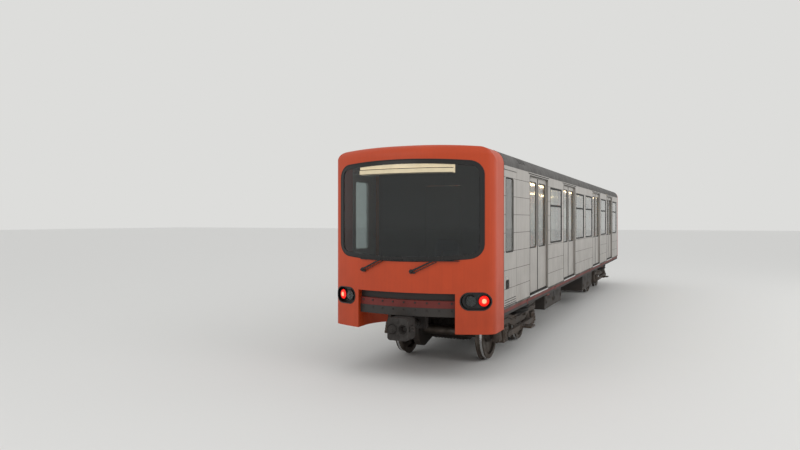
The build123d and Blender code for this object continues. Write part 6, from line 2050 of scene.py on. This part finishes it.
@dataclass
class RearEnd:
    """Trim of the flat end wall: beads, handrails, jumper boxes and both hung doors' furniture."""

    bench: Bench
    window_x: float = 770.0
    window_w: float = 560.0
    window_h: float = 900.0
    window_z: float = 2525.5
    glass_w: float = 400.0
    glass_h: float = 700.0
    glass_r: float = 70.0
    rail_x: float = 410.0
    rail_z: float = 1900.0
    rail_half_l: float = 500.0
    box_x: float = 1000.0
    box_z: float = 1350.0
    bulkhead_y: float = -7020.0
    grip_x: float = -250.0
    grip_z: float = 1950.0
    kick_z: float = 1210.0

    def build(self) -> None:
        """Builds the rear end's pieces."""
        wall_y = BODY.rear_y
        bead_ring = framed(rounded(self.window_w, self.window_h, 50, 6), bead(24, 6))
        bead_ring = bead_ring.carried(at(self.window_x, wall_y, self.window_z, Look.REAR))
        self.bench.piece("end_window_beads", bead_ring.mirrored(), "black_rubber")
        low, high = -self.rail_half_l, self.rail_half_l
        rail = bent(((0, low, -2), (0, low, 60), (0, high, 60), (0, high, -2)), 40)
        foot = turned(((-1, 0), (-1, 28), (6, 28), (9, 20), (9, 0)), 20)
        feet = foot.copies([(0, low, 0), (0, high, 0)])
        rail = joined([swept(rail, (1, 0, 0), round_bar(14, 12)), feet])
        rail = rail.carried(at(self.rail_x, wall_y, self.rail_z, Look.REAR))
        self.bench.piece("end_handrails", rail.mirrored(), "pole_steel")
        socket = turned(((0, 0), (0, 46), (26, 46), (34, 38), (34, 0)), 24)
        box = joined([
            block(170, 230, 70, 8, 14),
            block(150, 200, 14, 4, 10).copies((0, 6, 68)),
            socket.copies((0, -30, 80)),
            bolt(8, 7).copies(corners(66, 92, 70)),
        ])
        box = box.carried(at(self.box_x, wall_y - 0.5, self.box_z - 90, Look.REAR))
        self.bench.piece("jumper_boxes", box.mirrored(), "underframe_black")
        self.door("end_door", wall_y - 2.0)
        bead_ring = framed(rounded(self.glass_w, self.glass_h, self.glass_r, 6), bead(18, 4))
        bead_ring = bead_ring.carried(at(0.0, wall_y - 2.0, self.window_z, Look.REAR))
        self.bench.piece("end_door_bead", bead_ring, "black_rubber", "end_door")
        self.door("bulkhead_door", self.bulkhead_y)

    def door(self, name: str, face_y: float) -> None:
        """Handle, lock plate and kicking plate on the rear face of a hung door."""
        grip = bent(((0, -70, -1), (0, -70, 34), (0, 70, 34), (0, 70, -1)), 14)
        parts = joined([
            block(60, 200, 4, 1.5, 8).copies((self.grip_x, self.grip_z, -0.5)),
            swept(grip, (1, 0, 0), round_bar(8, 10)).copies((self.grip_x, self.grip_z, 0)),
            plate(560, 180, 6, ((0, -0.5), (0, 1), (1, 2))).copies((0, self.kick_z, 0)),
        ])
        parts = parts.carried(at(0.0, face_y, 0.0, Look.REAR))
        self.bench.piece(f"{name}_handle", parts, "pole_steel", name)


# Studio and run


@dataclass
class Studio:
    """Plain pale floor and backdrop, soft lamps and the camera at the photograph's place."""

    eye: Triple = (4.04, -17.95, 2.43)
    turn_deg: float = 24.1
    focal_px: float = 655.0
    frame_px: float = 800.0
    horizon_px: float = 5.0
    sensor_mm: float = 36.0
    far_m: float = 400.0
    floor_half_m: float = 150.0
    pale: str = "DDDDDB"
    sky_strength: float = 0.85
    # Name, place, the point it looks at, side in metres, watts
    rows: tuple = (
        ("key", (14.0, -10.0, 11.0), (0.0, -1.0, 1.5), 9.0, 480.0),
        ("side", (15.0, 4.0, 8.0), (0.0, 3.0, 1.5), 9.0, 280.0),
        ("front", (-6.0, -20.0, 8.0), (0.0, -8.0, 1.5), 8.0, 160.0),
    )

    @staticmethod
    def placed(name: str, data: bpy.types.ID) -> bpy.types.Object:
        """Puts a mesh, a lamp or a camera into the scene."""
        thing = bpy.data.objects.new(name, data)
        bpy.context.scene.collection.objects.link(thing)
        return thing

    def camera(self) -> None:
        """Sets the camera level, turned to the car, its horizon a little above the middle."""
        data = bpy.data.cameras.new("camera")
        data.sensor_width = self.sensor_mm
        data.lens = self.focal_px / self.frame_px * self.sensor_mm
        data.shift_y = -self.horizon_px / self.frame_px
        data.clip_end = self.far_m
        eye = self.placed("camera", data)
        eye.location = self.eye
        eye.rotation_euler = (math.pi / 2, 0, math.radians(self.turn_deg))
        bpy.context.scene.camera = eye

    def floor(self) -> None:
        """Lays a large pale floor."""
        mesh = bpy.data.meshes.new("studio_floor")
        reach = self.floor_half_m
        outline = [(-reach, -reach, 0), (reach, -reach, 0), (reach, reach, 0), (-reach, reach, 0)]
        mesh.from_pydata(outline, [], [(0, 1, 2, 3)])
        paint = Graph("pale_floor").shaded({"Base Color": srgb(self.pale), "Roughness": 0.8})
        mesh.materials.append(paint)
        floor = self.placed("studio_floor", mesh)
        floor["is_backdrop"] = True

    def backdrop(self) -> None:
        """Sets the world's soft light, shown as a plain pale backdrop."""
        world = bpy.data.worlds.new("pale_world")
        world.use_nodes = True
        tree = world.node_tree
        tree.nodes.clear()
        path = add_node(tree, "LightPath").outputs
        seen = path["Is Camera Ray"]
        for ray in ("Is Transmission Ray", "Is Glossy Ray"):
            rays = {0: seen, 1: path[ray]}
            seen = add_node(tree, "Math", rays, operation="MAXIMUM").outputs[0]
        white = {"Color": srgb("FFFFFF"), "Strength": self.sky_strength}
        lamp = add_node(tree, "Background", white).outputs[0]
        pale = {"Color": srgb(self.pale), "Strength": 1.0}
        shown = add_node(tree, "Background", pale).outputs[0]
        mixed = add_node(tree, "MixShader", {0: seen, 1: lamp, 2: shown}).outputs[0]
        add_node(tree, "OutputWorld", {"Surface": mixed})
        bpy.context.scene.world = world

    def lamps(self) -> None:
        """Hangs the soft area lamps over and beside the car."""
        for name, place, target, side, watts in self.rows:
            data = bpy.data.lights.new(name, "AREA")
            data.size = side
            data.energy = watts
            lamp = self.placed(name, data)
            lamp.location = place
            x, y, z = np.subtract(target, place)
            tilt, turn = math.atan2(math.hypot(x, y), -z), math.atan2(y, x) - math.pi / 2
            lamp.rotation_euler = (tilt, 0, turn)


def main() -> None:
    """Builds every sub-assembly in order and reports each."""
    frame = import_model()
    cad_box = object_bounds()
    bench = Bench()
    slots = {row["node"]: row["material_slot"] for row in frame["record"]["subparts"]}
    for name, node in frame["nodes"].items():
        bench.dress(node, slots[name])
    log.info("dressed %d CAD nodes", len(slots))
    assemblies = (
        Nose(bench),
        BodySides(bench),
        SlidingDoors(bench),
        CabDoors(bench),
        RoofTrim(bench),
        Saloon(bench),
        Cab(bench),
        Underframe(bench),
        Bogie(bench, "front", -5850.0),
        Bogie(bench, "rear", 5850.0),
        RearEnd(bench),
    )
    for assembly in assemblies:
        before = bench.count
        assembly.build()
        log.info("%s: %d pieces", type(assembly).__name__, bench.count - before)
    studio = Studio()
    studio.camera()
    studio.floor()
    studio.backdrop()
    studio.lamps()
    bpy.context.scene.view_settings.view_transform = "Standard"
    visual_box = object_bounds()
    rows = {"cad": cad_box, "visual": visual_box}
    {key: [list(map(float, corner)) for corner in box] for key, box in rows.items()}


if __name__ == "__main__":
    main()
